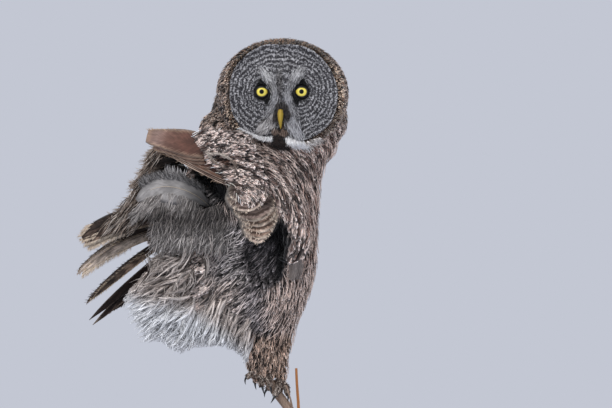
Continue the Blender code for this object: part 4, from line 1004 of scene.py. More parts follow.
draw = np.random.default_rng(101)
across, height = in_hex(HEAD_HALF_WIDTH, HEAD_HALF_HEIGHT, STRAND_SPACING, draw)
one, other = eye_distances(across, height)
bare = (np.abs(across - 0.8) < 3.5) & (height > -44.0) & (height < -17.0)
stays = (disc_share(across, height) < 0.97) & (np.minimum(one, other) > 8.4) & ~bare
across, height, one, other = across[stays], height[stays], one[stays], other[stays]
way = np.stack(((across + EYE_SPACING / 2) / other**2 + (across - EYE_SPACING / 2) / one**2,
    (height - EYE_HEIGHT) * (1 / one**2 + 1 / other**2)), axis=1)
way = unit(way) + draw.normal(0, 0.12, way.shape)
room = (1.0 - disc_share(across, height)) * disc_radius(np.arctan2(height, across)) + 1.5
size = np.interp(np.minimum(one, other), (8.0, 16.0, 40.0), (3.5, 7.0, 9.5)) * draw.uniform(0.85, 1.15,
    len(across))
size = np.minimum(size, room)
for half_name, part in (("disc_right", across < 0), ("disc_left", across >= 0)):
    face_strands(half_name, across[part], height[part], way[part], size[part], 0.72,
        np.full(part.sum(), -0.8),
        draw.uniform(0.7, 1.7, part.sum()), disc_looks(draw), DISC_PROFILE, disc_thread)

# Brows, bristles, moustache, chin and bow tie: longer tufts that stand off the disc. The brows fan up and
# out from between the eyes, the bristles close over the bill's root, the moustache hangs on both sides
# of it, and the bow tie is a white band under the disc, parted by the dark chin.
THREAD_PROFILE = np.array((0.8, 1.0, 0.75, 0.12))


def tuft_looks(pale, dark, draw, tip=None):
    """One pale and one dark tint for a group of tufts, which may change towards the tip."""
    def looks(across, height):
        mix = draw.uniform(0.0, 1.0, len(across))[:, None, None]
        tint = colour(dark) + (colour(pale) - colour(dark)) * np.clip(mix * 1.5, 0, 1)
        tint = np.broadcast_to(tint, (*across.shape, 3))
        if tip:
            share = np.linspace(0, 1, across.shape[1])[None, :, None] ** 1.5
            tint = tint + (colour(tip) - tint) * share
        return {"ground": tint, "ink": tint * 0.5, "rim": tint, "marks": np.zeros((len(across), 3)),
            "chance": draw.random(len(across))}
    return looks


down_thread = feather_finish("down_thread", 2.0, 4.0, 0.85, 0.2, 2.0, 0.2)


def tufts(name, line, spread, count, way, length, half, lift, bulge, looks, seed, sway=0.0, both=True):
    """Threads strewn along a line of the face on one side or both, all laid one way."""
    draw = np.random.default_rng(seed)
    line, way = np.array(line, float), np.array(way, float)
    at = draw.random(count) * (len(line) - 1)
    k = np.minimum(at.astype(int), len(line) - 2)
    t = (at - k)[:, None]
    spot = line[k] * (1 - t) + line[k + 1] * t + draw.normal(0, spread, (count, 2))
    aim = way[k] * (1 - t) + way[k + 1] * t + draw.normal(0, 0.13, (count, 2))
    side = draw.choice((-1.0, 1.0), count) if both else np.ones(count)
    face_strands(name, spot[:, 0] * side, spot[:, 1], aim * np.stack((side, np.ones(count)), axis=1),
        draw.uniform(*length, count), half, np.full(count, -0.5), draw.uniform(*lift, count), looks,
        THREAD_PROFILE, down_thread, draw.uniform(*bulge, count), side * sway)


draw = np.random.default_rng(111)
tufts("brows", ((24.0, 27.0), (18.5, 20.0), (12.0, 11.0), (8.0, 0.0)), 2.6, 420,
    ((0.8, 1.0), (0.75, 1.0), (0.45, 1.0), (0.2, 1.0)), (5.0, 9.0), 0.38, (1.0, 3.0), (0.3, 1.5),
    tuft_looks("#c5c3c3", "#4b494b", draw), 112)
tufts("brow_tops", ((23.0, 28.0), (17.0, 21.0), (13.5, 15.0)), 2.4, 260,
    ((0.7, 1.0), (0.5, 1.0), (0.4, 1.0)),
    (5.0, 9.0), 0.4, (1.5, 3.5), (0.3, 1.5), tuft_looks("#f1efee", "#a5a2a2", draw), 110)
tufts("brow_tails", ((8.0, 2.0), (7.4, -5.0), (9.0, -13.0), (14.5, -23.0)), 2.3, 400,
    ((0.1, -1.0), (0.3, -1.0), (0.5, -1.0), (0.7, -1.0)), (6.0, 11.0), 0.38, (1.5, 3.5), (0.3, 2.0),
    tuft_looks("#d3d1d2", "#5d5b5d", draw), 113)
tufts("bristles", ((4.5, -11.0), (5.5, -17.0), (6.5, -23.0), (6.5, -28.0)), 1.9, 340,
    ((-0.2, -1.0), (-0.2, -1.0), (0.1, -1.0), (0.3, -1.0)), (7.0, 11.0), 0.4, (6.0, 10.0), (1.0, 3.0),
    tuft_looks("#5d5755", "#080707", draw), 114)
tufts("right_moustache", ((-8.0, -27.0), (-12.0, -33.0), (-18.0, -38.0), (-24.0, -41.0)), 3.2, 620,
    ((-0.3, -1.0), (-0.5, -1.0), (-0.6, -1.0), (-0.8, -1.0)), (7.0, 13.0), 0.4, (2.0, 5.0), (1.0, 4.0),
    tuft_looks("#d6d2d1", "#5b5654", draw), 115, both=False)
tufts("left_moustache", ((9.0, -27.0), (12.0, -34.0), (16.0, -41.0), (21.0, -46.0)), 3.0, 760,
    ((0.2, -1.0), (0.3, -1.0), (0.35, -1.0), (0.4, -1.0)), (9.0, 14.0), 0.42, (3.0, 6.5), (2.0, 4.0),
    tuft_looks("#cfced1", "#4f4d51", draw), 116, both=False)
tufts("gape", ((-1.8, -42.0), (-2.2, -46.0)), 0.7, 90, ((0.0, -1.0), (0.0, -1.0)), (4.0, 6.0), 0.5,
    (3.0, 6.0),
    (1.0, 3.0), tuft_looks("#1d1613", "#080605", draw), 120, both=False)
tufts("chin", ((-9.0, -46.0), (-2.0, -47.5), (5.0, -47.0)), 1.7, 260,
    ((-0.3, -1.0), (0.0, -1.0), (0.3, -1.0)),
    (4.0, 7.0), 0.4, (3.0, 6.0), (1.0, 3.0), tuft_looks("#a08a7c", "#33261f", draw), 121, both=False)
tufts("throat", ((-3.8, -51.0), (-4.0, -56.0), (-6.5, -60.0), (0.5, -61.0), (5.0, -64.0)), 2.2, 520,
    ((0.0, -1.0), (0.0, -1.0), (-0.2, -1.0), (0.2, -1.0), (0.4, -1.0)), (5.0, 9.0), 0.5, (4.0, 7.0),
    (2.0, 3.0),
    tuft_looks("#2b1f1a", "#070505", draw), 117, both=False)
tufts("bow_tie", ((7.5, -56.0), (17.0, -60.5), (25.0, -63.0), (30.0, -64.0)), 1.6, 680,
    ((0.15, -1.0), (0.3, -1.0), (0.4, -1.0), (0.5, -0.9)), (6.0, 11.5), 0.5, (5.0, 8.0), (1.0, 3.0),
    tuft_looks("#ffffff", "#d8d2cf", draw), 118, both=False)
tufts("bow_tie_near_end", ((30.0, -65.0), (46.0, -59.0)), 2.2, 190, ((0.5, -0.9), (0.9, -0.4)), (4.0, 8.0),
    0.4,
    (5.0, 8.0), (1.0, 3.0), tuft_looks("#fff8f2", "#5f4d42", draw), 123, both=False)
tufts("bow_tie_far_end", ((-33.0, -52.5), (-22.0, -55.5), (-11.0, -56.0)), 0.9, 300,
    ((-0.7, -0.5), (-0.5, -0.8), (-0.2, -1.0)), (3.0, 5.5), 0.38, (5.0, 8.0), (1.0, 2.0),
    tuft_looks("#ffffff", "#dcd6d4", draw), 119, both=False)
tufts("bow_tie_thread", ((-53.0, -43.0), (-43.0, -48.0), (-32.0, -53.0)), 0.4, 130,
    ((-0.9, -0.45), (-0.9, -0.45), (-0.9, -0.4)), (2.5, 4.0), 0.35, (5.0, 8.0), (0.5, 1.0),
    tuft_looks("#ffffff", "#dcd6d4", draw), 122, both=False)

# Ruff: short, stiff, close-set feathers that stand round the disc like a collar and turn back over the
# rim. They are dark brown, black where they meet the disc, with buff tips.
RUFF_SHARES = (1.0, 1.03, 1.06, 1.09, 1.12, 1.15, 1.15, 1.15)
# The last rows stand behind the rim and lie back over the side of the head
RUFF_SET_BACK = (0.0, 0.0, 0.0, 0.0, 0.0, 0.0, 4.0, 8.0)
RUFF_SPACING = 1.9
RUFF_LENGTH = 7.8
RUFF_HALF_WIDTH = 1.25


def ruff_looks(turn, share, draw):
    """Nearly black at the disc, then brown with buff tips, darkest low on the left cheek, and darkened over
    the top as painted shade.
    """
    count = len(turn)
    inner = ease(-share, -1.055, -1.005)[:, None]
    cheek = (ease(np.cos(turn), 0.25, 0.5) * ease(-np.sin(turn), 0.05, 0.4))[:, None] * 0.8
    pale = (draw.random(count) < 0.62).astype(float)
    base = np.stack([colour(tint) for tint in ("#ead0b8", "#86654f", "#22150f")])[draw.choice(3, count,
        p=(0.48, 0.22, 0.3))]
    # Painted shade: the ruff is darkened over the top of the head, where the lamp behind lights it.
    top = ease(np.sin(turn), 0.2, 0.75)[:, None]
    base = base * (1 - top * np.array((0.8, 0.83, 0.86)))
    ground = base * (1 - inner) + colour("#14100e") * inner
    ground = ground * (1 - cheek) + colour("#3b2519") * cheek
    rim = colour("#ffeeda") * (1 - inner) * (1 - top * 0.78) + colour("#3c2b22") * inner
    marks = np.stack((np.full(count, 0.5), np.full(count, 0.5), pale), axis=1)
    return {"ground": ground, "ink": ground * 0.3, "rim": rim, "marks": marks, "chance": draw.random(count)}


draw = np.random.default_rng(121)
roots, ways, outs, turns, shares = [], [], [], [], []
for share, set_back in zip(RUFF_SHARES, RUFF_SET_BACK):
    count = int(math.tau * 68.0 * share / RUFF_SPACING)
    turn = np.linspace(-math.pi, math.pi, count, endpoint=False) + draw.normal(0, 0.01, count)
    mine = share + draw.normal(0, 0.01, count)
    crown = 1.0 - 0.6 * np.maximum(np.sin(turn), 0.0) ** 2
    reach = disc_radius(turn) * (0.955 + (mine - 1.0) * crown)
    across, height = reach * np.cos(turn), reach * np.sin(turn)
    radial = np.cos(turn)[:, None] * HEAD_ACROSS + np.sin(turn)[:, None] * UP
    tip_over = (share - 1.0) / 0.15 + set_back * 0.08
    roots.append(head_point(across, face_front(across, height) - 1.5 - set_back, height) - radial
        * set_back * 0.25)
    ways.append(radial * (0.45 + 0.35 * tip_over - 0.1 * set_back) + HEAD_FRONT * (0.6 - 1.25 * tip_over)
        + draw.normal(0, 0.1, (count, 3)))
    outs.append(HEAD_FRONT * (0.9 - 0.5 * tip_over) + radial * (0.2 + 0.7 * tip_over))
    turns.append(turn)
    shares.append(mine)
roots, ways, outs, turns, shares = (np.concatenate(v) for v in (roots, ways, outs, turns, shares))


def lined_up(root, lie, out, length, lift, curl, sway, stations):
    """Stations along feathers that leave their roots at a lift, and curl in or out towards the tip."""
    out = unit(out)
    lie = unit(lie - np.sum(lie * out, axis=1, keepdims=True) * out)
    side = np.cross(lie, out)
    t = np.linspace(0, 1, stations)[None, :, None]
    rise = np.reshape(lift, (-1, 1, 1)) * t + np.reshape(curl, (-1, 1, 1)) * t**2
    bend = np.reshape(sway, (-1, 1, 1)) * t**2
    return root[:, None] + np.reshape(length, (-1, 1, 1)) * (lie[:, None] * t + out[:, None] * rise
        + side[:, None] * bend)


stays = (turns < -2.35) | (turns > -0.95)
roots, ways, outs, turns, shares = (v[stays] for v in (roots, ways, outs, turns, shares))
size = RUFF_LENGTH * draw.uniform(0.85, 1.15, len(roots))
centres = lined_up(roots, ways, outs, size, draw.uniform(0.05, 0.2, len(roots)), -0.12,
    draw.normal(0, 0.1, len(roots)), 5)
woven("ruff", centres, outs, np.full((len(roots), 1), RUFF_HALF_WIDTH) * LEAF_PROFILE, LEAF, 0.4, 0.3,
    ruff_looks(turns, shares, draw), head_unwrap(roots), contour_vane)

# Eyes: a yellow iris of fine spokes round a small black pupil, under a clear wet cornea. The ball is
# turned on a lathe of rings so that the iris has its true edge at any size.
EYE_RADIUS = 10.6
LID_OPENING = 6.9
LID_FRONT = 41.0
PUPIL_RADIUS = 3.0
IRIS_RADIUS = 7.5
EYE_BACK = math.sqrt(EYE_RADIUS**2 - LID_OPENING**2)


def lathe(name, profile, origin, axis, sides):
    """A turned form: profile holds pairs of distance along the axis and radius."""
    axis = unit(np.array(axis, float))
    u = unit(np.cross(axis, UP))
    v = np.cross(u, axis)
    rings = [oval(np.array(origin) + axis * along, u * max(radius, 0.02), v * max(radius, 0.02), sides)
        for along, radius in profile]
    points, faces = join_rings(rings)
    made = mesh_object(name, points, faces)
    made.data.shade_smooth()
    return made


def named_value(obj, name, values):
    data = obj.data.attributes.new(name, "FLOAT", "POINT").data
    data.foreach_set("value", np.asarray(values, np.float32))


iris, tree = new_finish("iris")
radius = add(tree, "Attribute", attribute_name="from_axis", give="Fac")
turn = add(tree, "Attribute", attribute_name="spoke", give="Fac")
spoke_at = add(tree, "CombineXYZ", {0: add(tree, "Math", {0: radius, 1: 0.35}, operation="MULTIPLY"),
    1: turn})
spokes = add(tree, "TexNoise", {"Vector": spoke_at, "Scale": 5.0, "Detail": 3.0})
warm = add(tree, "MapRange", {0: add(tree, "Math", {0: spokes, 1: 1.6, 2: radius},
    operation="MULTIPLY_ADD"), 1: 5.6, 2: 9.2}, interpolation_type="SMOOTHSTEP")
yellow = add(tree, "Mix", {0: warm, 6: colour("#f9e566", True), 7: colour("#dcb638", True)},
    data_type="RGBA", give=2)
thread = add(tree, "MapRange", {0: spokes, 1: 0.35, 2: 0.65, 3: 0.85, 4: 1.1})
fibres = add(tree, "VectorMath", {0: yellow, "Scale": thread}, operation="SCALE")
pupil = add(tree, "MapRange", {0: radius, 1: PUPIL_RADIUS - 0.25, 2: PUPIL_RADIUS + 0.25},
    interpolation_type="SMOOTHSTEP")
eye_tint = add(tree, "Mix", {0: pupil, 6: colour("#020203", True), 7: fibres}, data_type="RGBA", give=2)
limbus = add(tree, "MapRange", {0: radius, 1: IRIS_RADIUS - 0.5, 2: IRIS_RADIUS + 0.2},
    interpolation_type="SMOOTHSTEP")
eye_tint = add(tree, "Mix", {0: limbus, 6: eye_tint, 7: colour("#0a0908", True)}, data_type="RGBA", give=2)
shader = add(tree, "BsdfPrincipled", {"Base Color": eye_tint, "Roughness": 0.4, "Specular IOR Level": 0.2,
    "Coat Weight": 0.25,
    "Coat Roughness": 0.03, "Coat IOR": 1.38})
add(tree, "OutputMaterial", {0: shader})

# Lids: bare black skin, slightly wet, that closes on the ball in a round opening drawn out to a small
# corner towards the bill.
lid_skin, tree = new_finish("lid_skin")
here = add(tree, "TexCoord", give="Object")
creases = add(tree, "TexNoise", {"Vector": here, "Scale": 900.0, "Detail": 3.0})
tint = add(tree, "Mix", {0: creases, 6: colour("#050505", True), 7: colour("#1d1b1b", True)},
    data_type="RGBA", give=2)
relief = add(tree, "Bump", {"Height": creases, "Strength": 0.4, "Distance": 0.0003})
shader = add(tree, "BsdfPrincipled", {"Base Color": tint, "Roughness": 0.4, "Normal": relief})
add(tree, "OutputMaterial", {0: shader})

EYE_NAMES = ((-1, "right"), (1, "left"))
for side, side_name in EYE_NAMES:
    centre = head_point(side * EYE_SPACING / 2, LID_FRONT - EYE_BACK, EYE_HEIGHT)
    angles = np.concatenate((np.linspace(0, 0.9, 26), np.linspace(0.95, math.pi, 16)))
    profile = [(EYE_RADIUS * math.cos(a), EYE_RADIUS * math.sin(a)) for a in angles]
    ball = lathe(f"{side_name}_eyeball", profile, centre, HEAD_FRONT, 48)
    spots = np.repeat([r for _, r in profile], 48) + np.repeat(angles > 1.2, 48) * 9.0
    named_value(ball, "from_axis", spots)
    circle = np.linspace(0, math.tau, 48, endpoint=False)
    named_value(ball, "spoke", np.tile(np.abs(circle - math.pi) * 4.0, len(profile)))
    ball.data.materials.append(iris)
    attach(ball, "root")
    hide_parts(f"{side_name}_eye")
    rings = []
    for turn in np.linspace(0, math.tau, 56, endpoint=False):
        out = np.array((math.cos(turn), math.sin(turn)))
        corner = math.exp(-((math.degrees(turn) - (180.0 if side > 0 else 0.0)) / 16.0) ** 2)
        corner += math.exp(-((math.degrees(turn) - 360.0) / 16.0) ** 2) if side < 0 else 0.0
        edge = LID_OPENING + 1.7 * corner - 1.5 * max(math.sin(turn), 0.0) ** 2 - 0.7 * max(-math.sin(turn),
            0.0) ** 3
        ring = []
        for roll in np.linspace(0, math.tau, 12, endpoint=False):
            reach = edge + 1.25 + 1.45 * math.cos(roll)
            drop = math.sqrt(max(EYE_RADIUS**2 - min(reach, 9.6) ** 2, 4.0))
            front = LID_FRONT - EYE_BACK + drop + 0.5 + 0.9 * math.sin(roll)
            ring.append(head_point(side * EYE_SPACING / 2 + reach * out[0], front,
                EYE_HEIGHT + reach * out[1]))
        rings.append(ring)
    points = [p for ring in rings for p in ring]
    faces = [(i * 12 + j, i * 12 + (j + 1) % 12, (i + 1) % 56 * 12 + (j + 1) % 12, (i + 1) % 56 * 12 + j)
        for i in range(56) for j in range(12)]
    lids = mesh_object(f"{side_name}_lids", points, faces)
    lids.data.shade_smooth()
    lids.data.materials.append(lid_skin)
    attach(lids, "root")

# Bill: a hooked horn sheath over bone, olive yellow, smooth, with a narrow ridge down its middle, a
# tomial edge on each side and the nostrils near its root, half under the bristles.
BILL_TOP = 18.0
BILL_LENGTH = 25.0
BILL_WIDTH = 8.6
BILL_OFFSET = -0.9
BILL_HOOK = 6.0
bill_horn, tree = new_finish("bill_horn")
here = add(tree, "TexCoord", give="Object")
stretched = add(tree, "VectorMath", {0: here, 1: (900.0, 900.0, 120.0)}, operation="MULTIPLY")
growth = add(tree, "TexNoise", {"Vector": stretched, "Scale": 1.0, "Detail": 3.0})
tint = add(tree, "Mix", {0: growth, 6: colour("#94781f", True), 7: colour("#d3b445", True)},
    data_type="RGBA", give=2)
relief = add(tree, "Bump", {"Height": growth, "Strength": 0.25, "Distance": 0.0003})
shader = add(tree, "BsdfPrincipled", {"Base Color": tint, "Roughness": 0.38, "Normal": relief,
    "Subsurface Weight": 0.1, "Subsurface Scale": 0.002})
add(tree, "OutputMaterial", {0: shader})


def bill(name, lower):
    rings = []
    turn = np.linspace(0, math.tau, 28, endpoint=False)
    for s in np.linspace(0, 1, 18):
        length = BILL_LENGTH * (0.62 if lower else 1.0)
        if lower:
            front, half_w, half_d = 45.5 - 1.5 * s, BILL_WIDTH / 2 * (0.8 - 0.45 * s), 4.4 - 1.8 * s
        else:
            front = 49.0 + BILL_HOOK * math.sin(math.pi * min(s * 0.75 + 0.1, 1.0)) - 3.0 * s**2
            half_w = BILL_WIDTH / 2 * (1.0 - 0.86 * s**1.5) * (0.55 + 0.45
                * math.sin(min(s / 0.3, 1.0) * math.pi / 2))
            half_d = 0.8 + 7.7 * (1.0 - s) ** 0.7
        keel = 1.0 if lower else 1.0 + 0.14 * np.exp(-((turn - math.pi / 2) / 0.28) ** 2)
        rings.append(head_point(half_w * np.cos(turn) + BILL_OFFSET, front + half_d * np.sin(turn) * keel,
            -BILL_TOP - 2.0 - length * s))
    points, faces = join_rings(rings)
    made = mesh_object(name, points, faces)
    made.data.shade_smooth()
    made.data.materials.append(bill_horn)
    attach(made, "root")
    return made


upper = bill("upper_mandible", False)
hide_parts("upper_bill")
lower = bill("lower_mandible", True)
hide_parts("lower_bill")
for side, side_name in EYE_NAMES:
    spot = head_point(side * BILL_WIDTH * 0.4 + BILL_OFFSET, 54.2, -BILL_TOP - 6.0)
    points, faces = ellipsoid(spot, np.array((1.0, 0.8, 1.5)))
    nostril = mesh_object(f"{side_name}_nostril", points, faces)
    nostril.data.shade_smooth()
    nostril.data.materials.append(lid_skin)
    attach(nostril, "root")



def along_path(path, share):
    at = np.linspace(0, 1, len(path))
    return np.stack([np.interp(share, at, path[:, i]) for i in range(3)], axis=-1)


# Near wing, folded: the long primaries lie back over the tail as one smooth brown bar, and the
# secondaries hang below the shoulder as a stack of round-ended feathers. Each is a stiff keratin vane
# on a raised shaft, set in the arm and lapped over the next one.
VANE = np.array(((-1.0, 0.1), (-0.75, 0.5), (-0.35, 0.55), (-0.07, 0.6), (0.0, 1.5), (0.07, 0.6),
    (0.35, 0.55),
    (0.75, 0.5), (1.0, 0.1), (0.6, -0.5), (0.0, -0.9), (-0.6, -0.5)))
QUILL_PROFILE = np.array((0.3, 0.62, 0.86, 0.96, 1.0, 1.0, 1.0, 1.0, 0.99, 0.95, 0.88, 0.7, 0.3))
ROUND_PROFILE = np.array((0.45, 0.62, 0.76, 0.87, 0.95, 1.0, 1.0, 0.98, 0.93, 0.84, 0.7, 0.5, 0.18))
BLUNT_PROFILE = np.array((0.8, 0.9, 0.97, 1.0, 1.0, 0.98, 0.93, 0.87, 0.8, 0.73, 0.67, 0.62, 0.46))
TAPER_PROFILE = np.array((0.35, 0.65, 0.85, 0.96, 1.0, 0.99, 0.95, 0.88, 0.79, 0.67, 0.52, 0.34, 0.08))
BLADE_PROFILE = np.array((0.35, 0.6, 0.75, 0.85, 0.92, 0.97, 1.0, 1.0, 0.97, 0.88, 0.72, 0.45, 0.05))
BAR_TIPS = np.array(((-161.0, -50.0, 473.0), (-152.0, -48.0, 462.0), (-136.0, -47.0, 454.0),
    (-120.0, -48.0, 446.0),
    (-105.0, -50.0, 438.0), (-90.0, -53.0, 430.0), (-74.0, -56.0, 421.0)))
BAR_ROOTS = np.array(((-84.0, -72.0, 458.0), (-84.0, -71.0, 451.0), (-83.0, -70.0, 445.0),
    (-76.0, -70.0, 438.0),
    (-66.0, -70.0, 430.0), (-56.0, -70.0, 423.0), (-44.0, -70.0, 415.0)))
BAR_HALF_WIDTHS = np.array((18.0, 14.0, 12.0, 11.0, 11.0, 11.0, 11.0))
# Bottom of each round-ended feather: along X, along Y, height, half width, length
STACK = np.array(((-31.0, -92.0, 388.0, 24.0, 34.0), (-27.0, -90.5, 376.0, 29.0, 44.0),
    (-17.0, -88.0, 363.5, 33.0, 52.0), (-13.0, -85.5, 356.5, 31.0, 52.0), (-10.0, -83.0, 349.0, 29.0, 52.0),
    (-12.0, -80.5, 340.5, 25.0, 50.0), (-15.0, -78.0, 335.0, 19.0, 46.0)))
STACK_RISE = np.array((-0.24, 0.1, 0.95))


def bent(root, mid, tip, stations):
    """Stations along a curve from root to tip that is drawn towards a middle point."""
    t = np.linspace(0, 1, stations)[None, :, None]
    root, mid, tip = (np.asarray(p, float)[:, None] for p in (root, mid, tip))
    return root * (1 - t) ** 2 + mid * 2 * t * (1 - t) + tip * t**2


def vane_looks(draw, count, ground, ink, rim, marks):
    """The same three tints for a row of feathers, each a little lighter or darker than the next."""
    each = draw.uniform(0.85, 1.15, (count, 1))
    return {"ground": colour(ground) * each, "ink": colour(ink) * each, "rim": colour(rim) * each,
        "marks": np.tile(np.array(marks, float), (count, 1)), "chance": draw.random(count)}


def edge_barbs(name, centres, facing, half, count, length, looks, seed, start=0.3, width=0.35, spread=0.55,
        sides=(-1.0, 1.0)):
    """Loose barbs that stand out from the edges and tips of a row of feathers."""
    draw = np.random.default_rng(seed)
    feathers, stations = centres.shape[:2]
    tangent = unit(np.gradient(centres, axis=1))
    facing = facing if facing.ndim == 3 else np.broadcast_to(facing[:, None], centres.shape)
    across = unit(np.cross(tangent, facing))
    pick = draw.integers(0, feathers, count)
    at = (stations - 1) * (start + (1 - start) * draw.random(count) ** 0.7)
    k = np.minimum(at.astype(int), stations - 2)
    t = (at - k)[:, None]
    side = draw.choice(sides, count)[:, None]
    root, way, over, out = (v[pick, k] * (1 - t) + v[pick, k + 1]
        * t for v in (centres, tangent, across, facing))
    reach = half[pick, k][:, None] * (1 - t) + half[pick, k + 1][:, None] * t
    aim = way + over * side * spread + draw.normal(0, 0.12, (count, 3))
    lines = lined_up(root + over * side * reach * 0.8, aim, out, length * draw.uniform(0.6, 1.3, count),
        draw.uniform(-0.05, 0.12, count), 0.0, draw.normal(0, 0.15, count), 4)
    mine = {key: (value[pick] if key != "chance" else draw.random(count)) for key, value in looks.items()}
    mine["ground"] = mine["rim"]
    mine["marks"] = np.zeros((count, 3))
    return woven(name, lines, out, np.full((count, 1), width) * STRAND_PROFILE, STRAND, 0.3, 0.0, mine,
        body_unwrap(root), loose_barb)


flight_vane = feather_finish("flight_vane", 7.0, 60.0, 0.65, 0.28, 12.0, 0.4)
covert_vane = feather_finish("covert_vane", 6.0, 26.0, 0.7, 0.3, 8.0, 0.3, 5.0)
smooth_vane = feather_finish("smooth_vane", 0.0, 90.0, 0.55, 0.2, 5.0, 0.22)
draw = np.random.default_rng(131)
count = len(BAR_TIPS)
centres = bent(BAR_ROOTS, (BAR_ROOTS + BAR_TIPS) / 2 + np.array((0.0, -6.0, 3.0)), BAR_TIPS,
    len(BLUNT_PROFILE))
facing = np.tile(np.array((-0.12, -1.0, 0.3)), (count, 1))
half = BAR_HALF_WIDTHS[:, None] * BLUNT_PROFILE
looks = vane_looks(draw, count, "#6d5044", "#4d362c", "#b79c84", (0.35, 0.15, 0.55))
# Painted shade: the bar is darkest at its root under the scapulars and lightest short of its tip.
wear_and_shade = np.stack([colour(tint) for tint in ("#452a22", "#6a473b", "#76564a", "#a1877c", "#8a6c60")])
run = np.linspace(0, 1, len(BLUNT_PROFILE))
wear_and_shade = np.stack([np.interp(run, (0.0, 0.4, 0.65, 0.86, 1.0), wear_and_shade[:, i]) for i in range(3)], axis=-1)
looks["ground"] = wear_and_shade * draw.uniform(0.85, 1.15, (count, 1, 1))
wing_bar = woven("near_primaries", centres, facing, half, VANE, 0.8, 0.12, looks, body_unwrap(BAR_ROOTS),
    smooth_vane)
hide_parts("right_wing")
edge_barbs("near_primary_barbs", centres, facing, half, 260, 5.0, looks, 132, 0.5)

draw = np.random.default_rng(141)
count = len(STACK)
tips = STACK[:, :3]
roots = tips + STACK_RISE * STACK[:, 4:5]
centres = bent(roots, (roots + tips) / 2 + np.array((0.0, -5.0, 0.0)), tips, len(ROUND_PROFILE))
facing = np.tile(np.array((-0.1, -1.0, 0.1)), (count, 1))
half = STACK[:, 3:4] * ROUND_PROFILE
looks = vane_looks(draw, count, "#9c867a", "#2a1b14", "#ead6c0", (0.15, 0.8, 0.7))
# Painted shade: each round-ended feather darkens towards its root, where the one above laps over it, and
# its rim darkens with it.
lit = np.interp(np.linspace(0, 1, len(ROUND_PROFILE)), (0.0, 0.6, 0.78, 0.9, 1.0),
    (0.12, 0.25, 0.6, 1.0, 1.1))[:, None]
looks["ground"] = looks["ground"][:, None] * lit
looks["rim"] = looks["rim"][:, None] * np.clip(lit * 1.4, 0, 1)
looks["ground"][3:6] *= np.array((1.03, 0.96, 0.86))
secondaries = woven("near_secondaries", centres, facing, half, VANE, 0.8, 0.28, looks, body_unwrap(roots),
    covert_vane)
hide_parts("right_wing")
tufted = {key: value[:, -2] if value.ndim == 3 else value for key, value in looks.items()}
edge_barbs("near_secondary_barbs", centres, facing, half, 160, 3.0, tufted, 142, 0.5)

# Below the bar, three more long feathers show only as narrow buff edges, side by side.
draw = np.random.default_rng(134)
step = np.arange(3)[:, None]
BAR_EDGE_TIPS = np.array((-152.0, -52.0, 464.0)) + step * np.array((3.0, 1.5, -3.6))
BAR_EDGE_ROOTS = np.array((-58.0, -74.0, 416.0)) + step * np.array((2.0, 1.0, -3.4))
BAR_EDGE_SAG = np.array((-108.0, -66.0, 440.0)) + step * np.array((2.5, 1.5, -3.8))
centres = bent(BAR_EDGE_ROOTS, BAR_EDGE_SAG, BAR_EDGE_TIPS, len(BLUNT_PROFILE))
facing = np.tile(np.array((-0.12, -1.0, 0.1)), (3, 1))
half = np.full((3, 1), 2.2) * BLUNT_PROFILE
looks = vane_looks(draw, 3, "#5f483c", "#2b1d16", "#d3bda8", (0.0, 0.0, 1.0))
woven("bar_edges", centres, facing, half, VANE, 0.7, 0.2, looks, body_unwrap(BAR_EDGE_ROOTS), loose_barb)

# Scapulars: soft mottled feathers that hang from the shoulder over the roots of both, and close round a
# slit where they part, its hide painted dark as shade. They lie on the folded wing, not on the hide.
SCAPULAR_SHAPE = np.array(((-101.0, 475.0), (-103.0, 455.0), (-95.0, 437.0), (-62.0, 414.0), (-55.0, 401.0),
    (-46.0, 392.0),
    (-31.0, 387.0), (-19.0, 391.0), (-14.0, 402.0), (-20.0, 425.0), (-30.0, 450.0), (-44.0, 476.0)))
SCAPULAR_SPACING = 2.9


def over_wing(x, z):
    """How far out the scapulars lie on the folded wing."""
    return -70.0 - 0.27 * (x + 100.0) - 0.1 * np.maximum(450.0 - z,
        0.0) + 5.0 * ease(depth_in(x, z, SLIT_SHAPE), -1.0, 3.0)


draw = np.random.default_rng(145)
x, z = in_hex(70.0, 55.0, SCAPULAR_SPACING, draw)
x, z = x - 60.0, z + 430.0
stays = (depth_in(x, z, SCAPULAR_SHAPE) > 0) & (depth_in(x, z - 14.0, SCAPULAR_SHAPE) > -4.0)
stays &= depth_in(x, z, SLIT_SHAPE) < -0.5
x, z = x[stays], z[stays]
count = len(x)
roots = np.stack((x, over_wing(x, z) + 2.5, z), axis=1)
arcs = np.stack((z - SWIRL[1], np.zeros(count), SWIRL[0] - x), axis=1)
low = ease(-z, -416.0, -396.0)[:, None] * ease(x, -60.0, -40.0)[:, None]
lie = unit(unit(arcs) * (1 - low) + np.array((0.1, 0.0, -1.0)) * low + draw.normal(0, 0.1, (count, 3))
    * np.array((1, 0, 1)))
size = 18.0 * draw.uniform(0.75, 1.2, count)
t = np.linspace(0, 1, 5)[None, :, None]
centres = roots[:, None] + lie[:, None] * size[:, None, None] * t
centres[..., 1] = over_wing(centres[..., 0], centres[..., 2]) + 2.5 - (4.0
    + draw.uniform(0, 2.5, (count, 1))) * t[..., 0] ** 0.8
half = draw.uniform(1.9, 3.0, (count, 1)) * LEAF_PROFILE
scapulars = woven("scapulars", centres, np.tile(np.array((0.0, -1.0, 0.1)), (count, 1)), half, LEAF, 0.45,
    0.3,
    body_looks(centres, draw), body_unwrap(roots), contour_vane)
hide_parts("right_wing")
pick = draw.integers(0, count, 1500)
start = centres[pick, 0] + draw.normal(0, 2.5, (1500, 3)) * np.array((1, 0.2, 1))
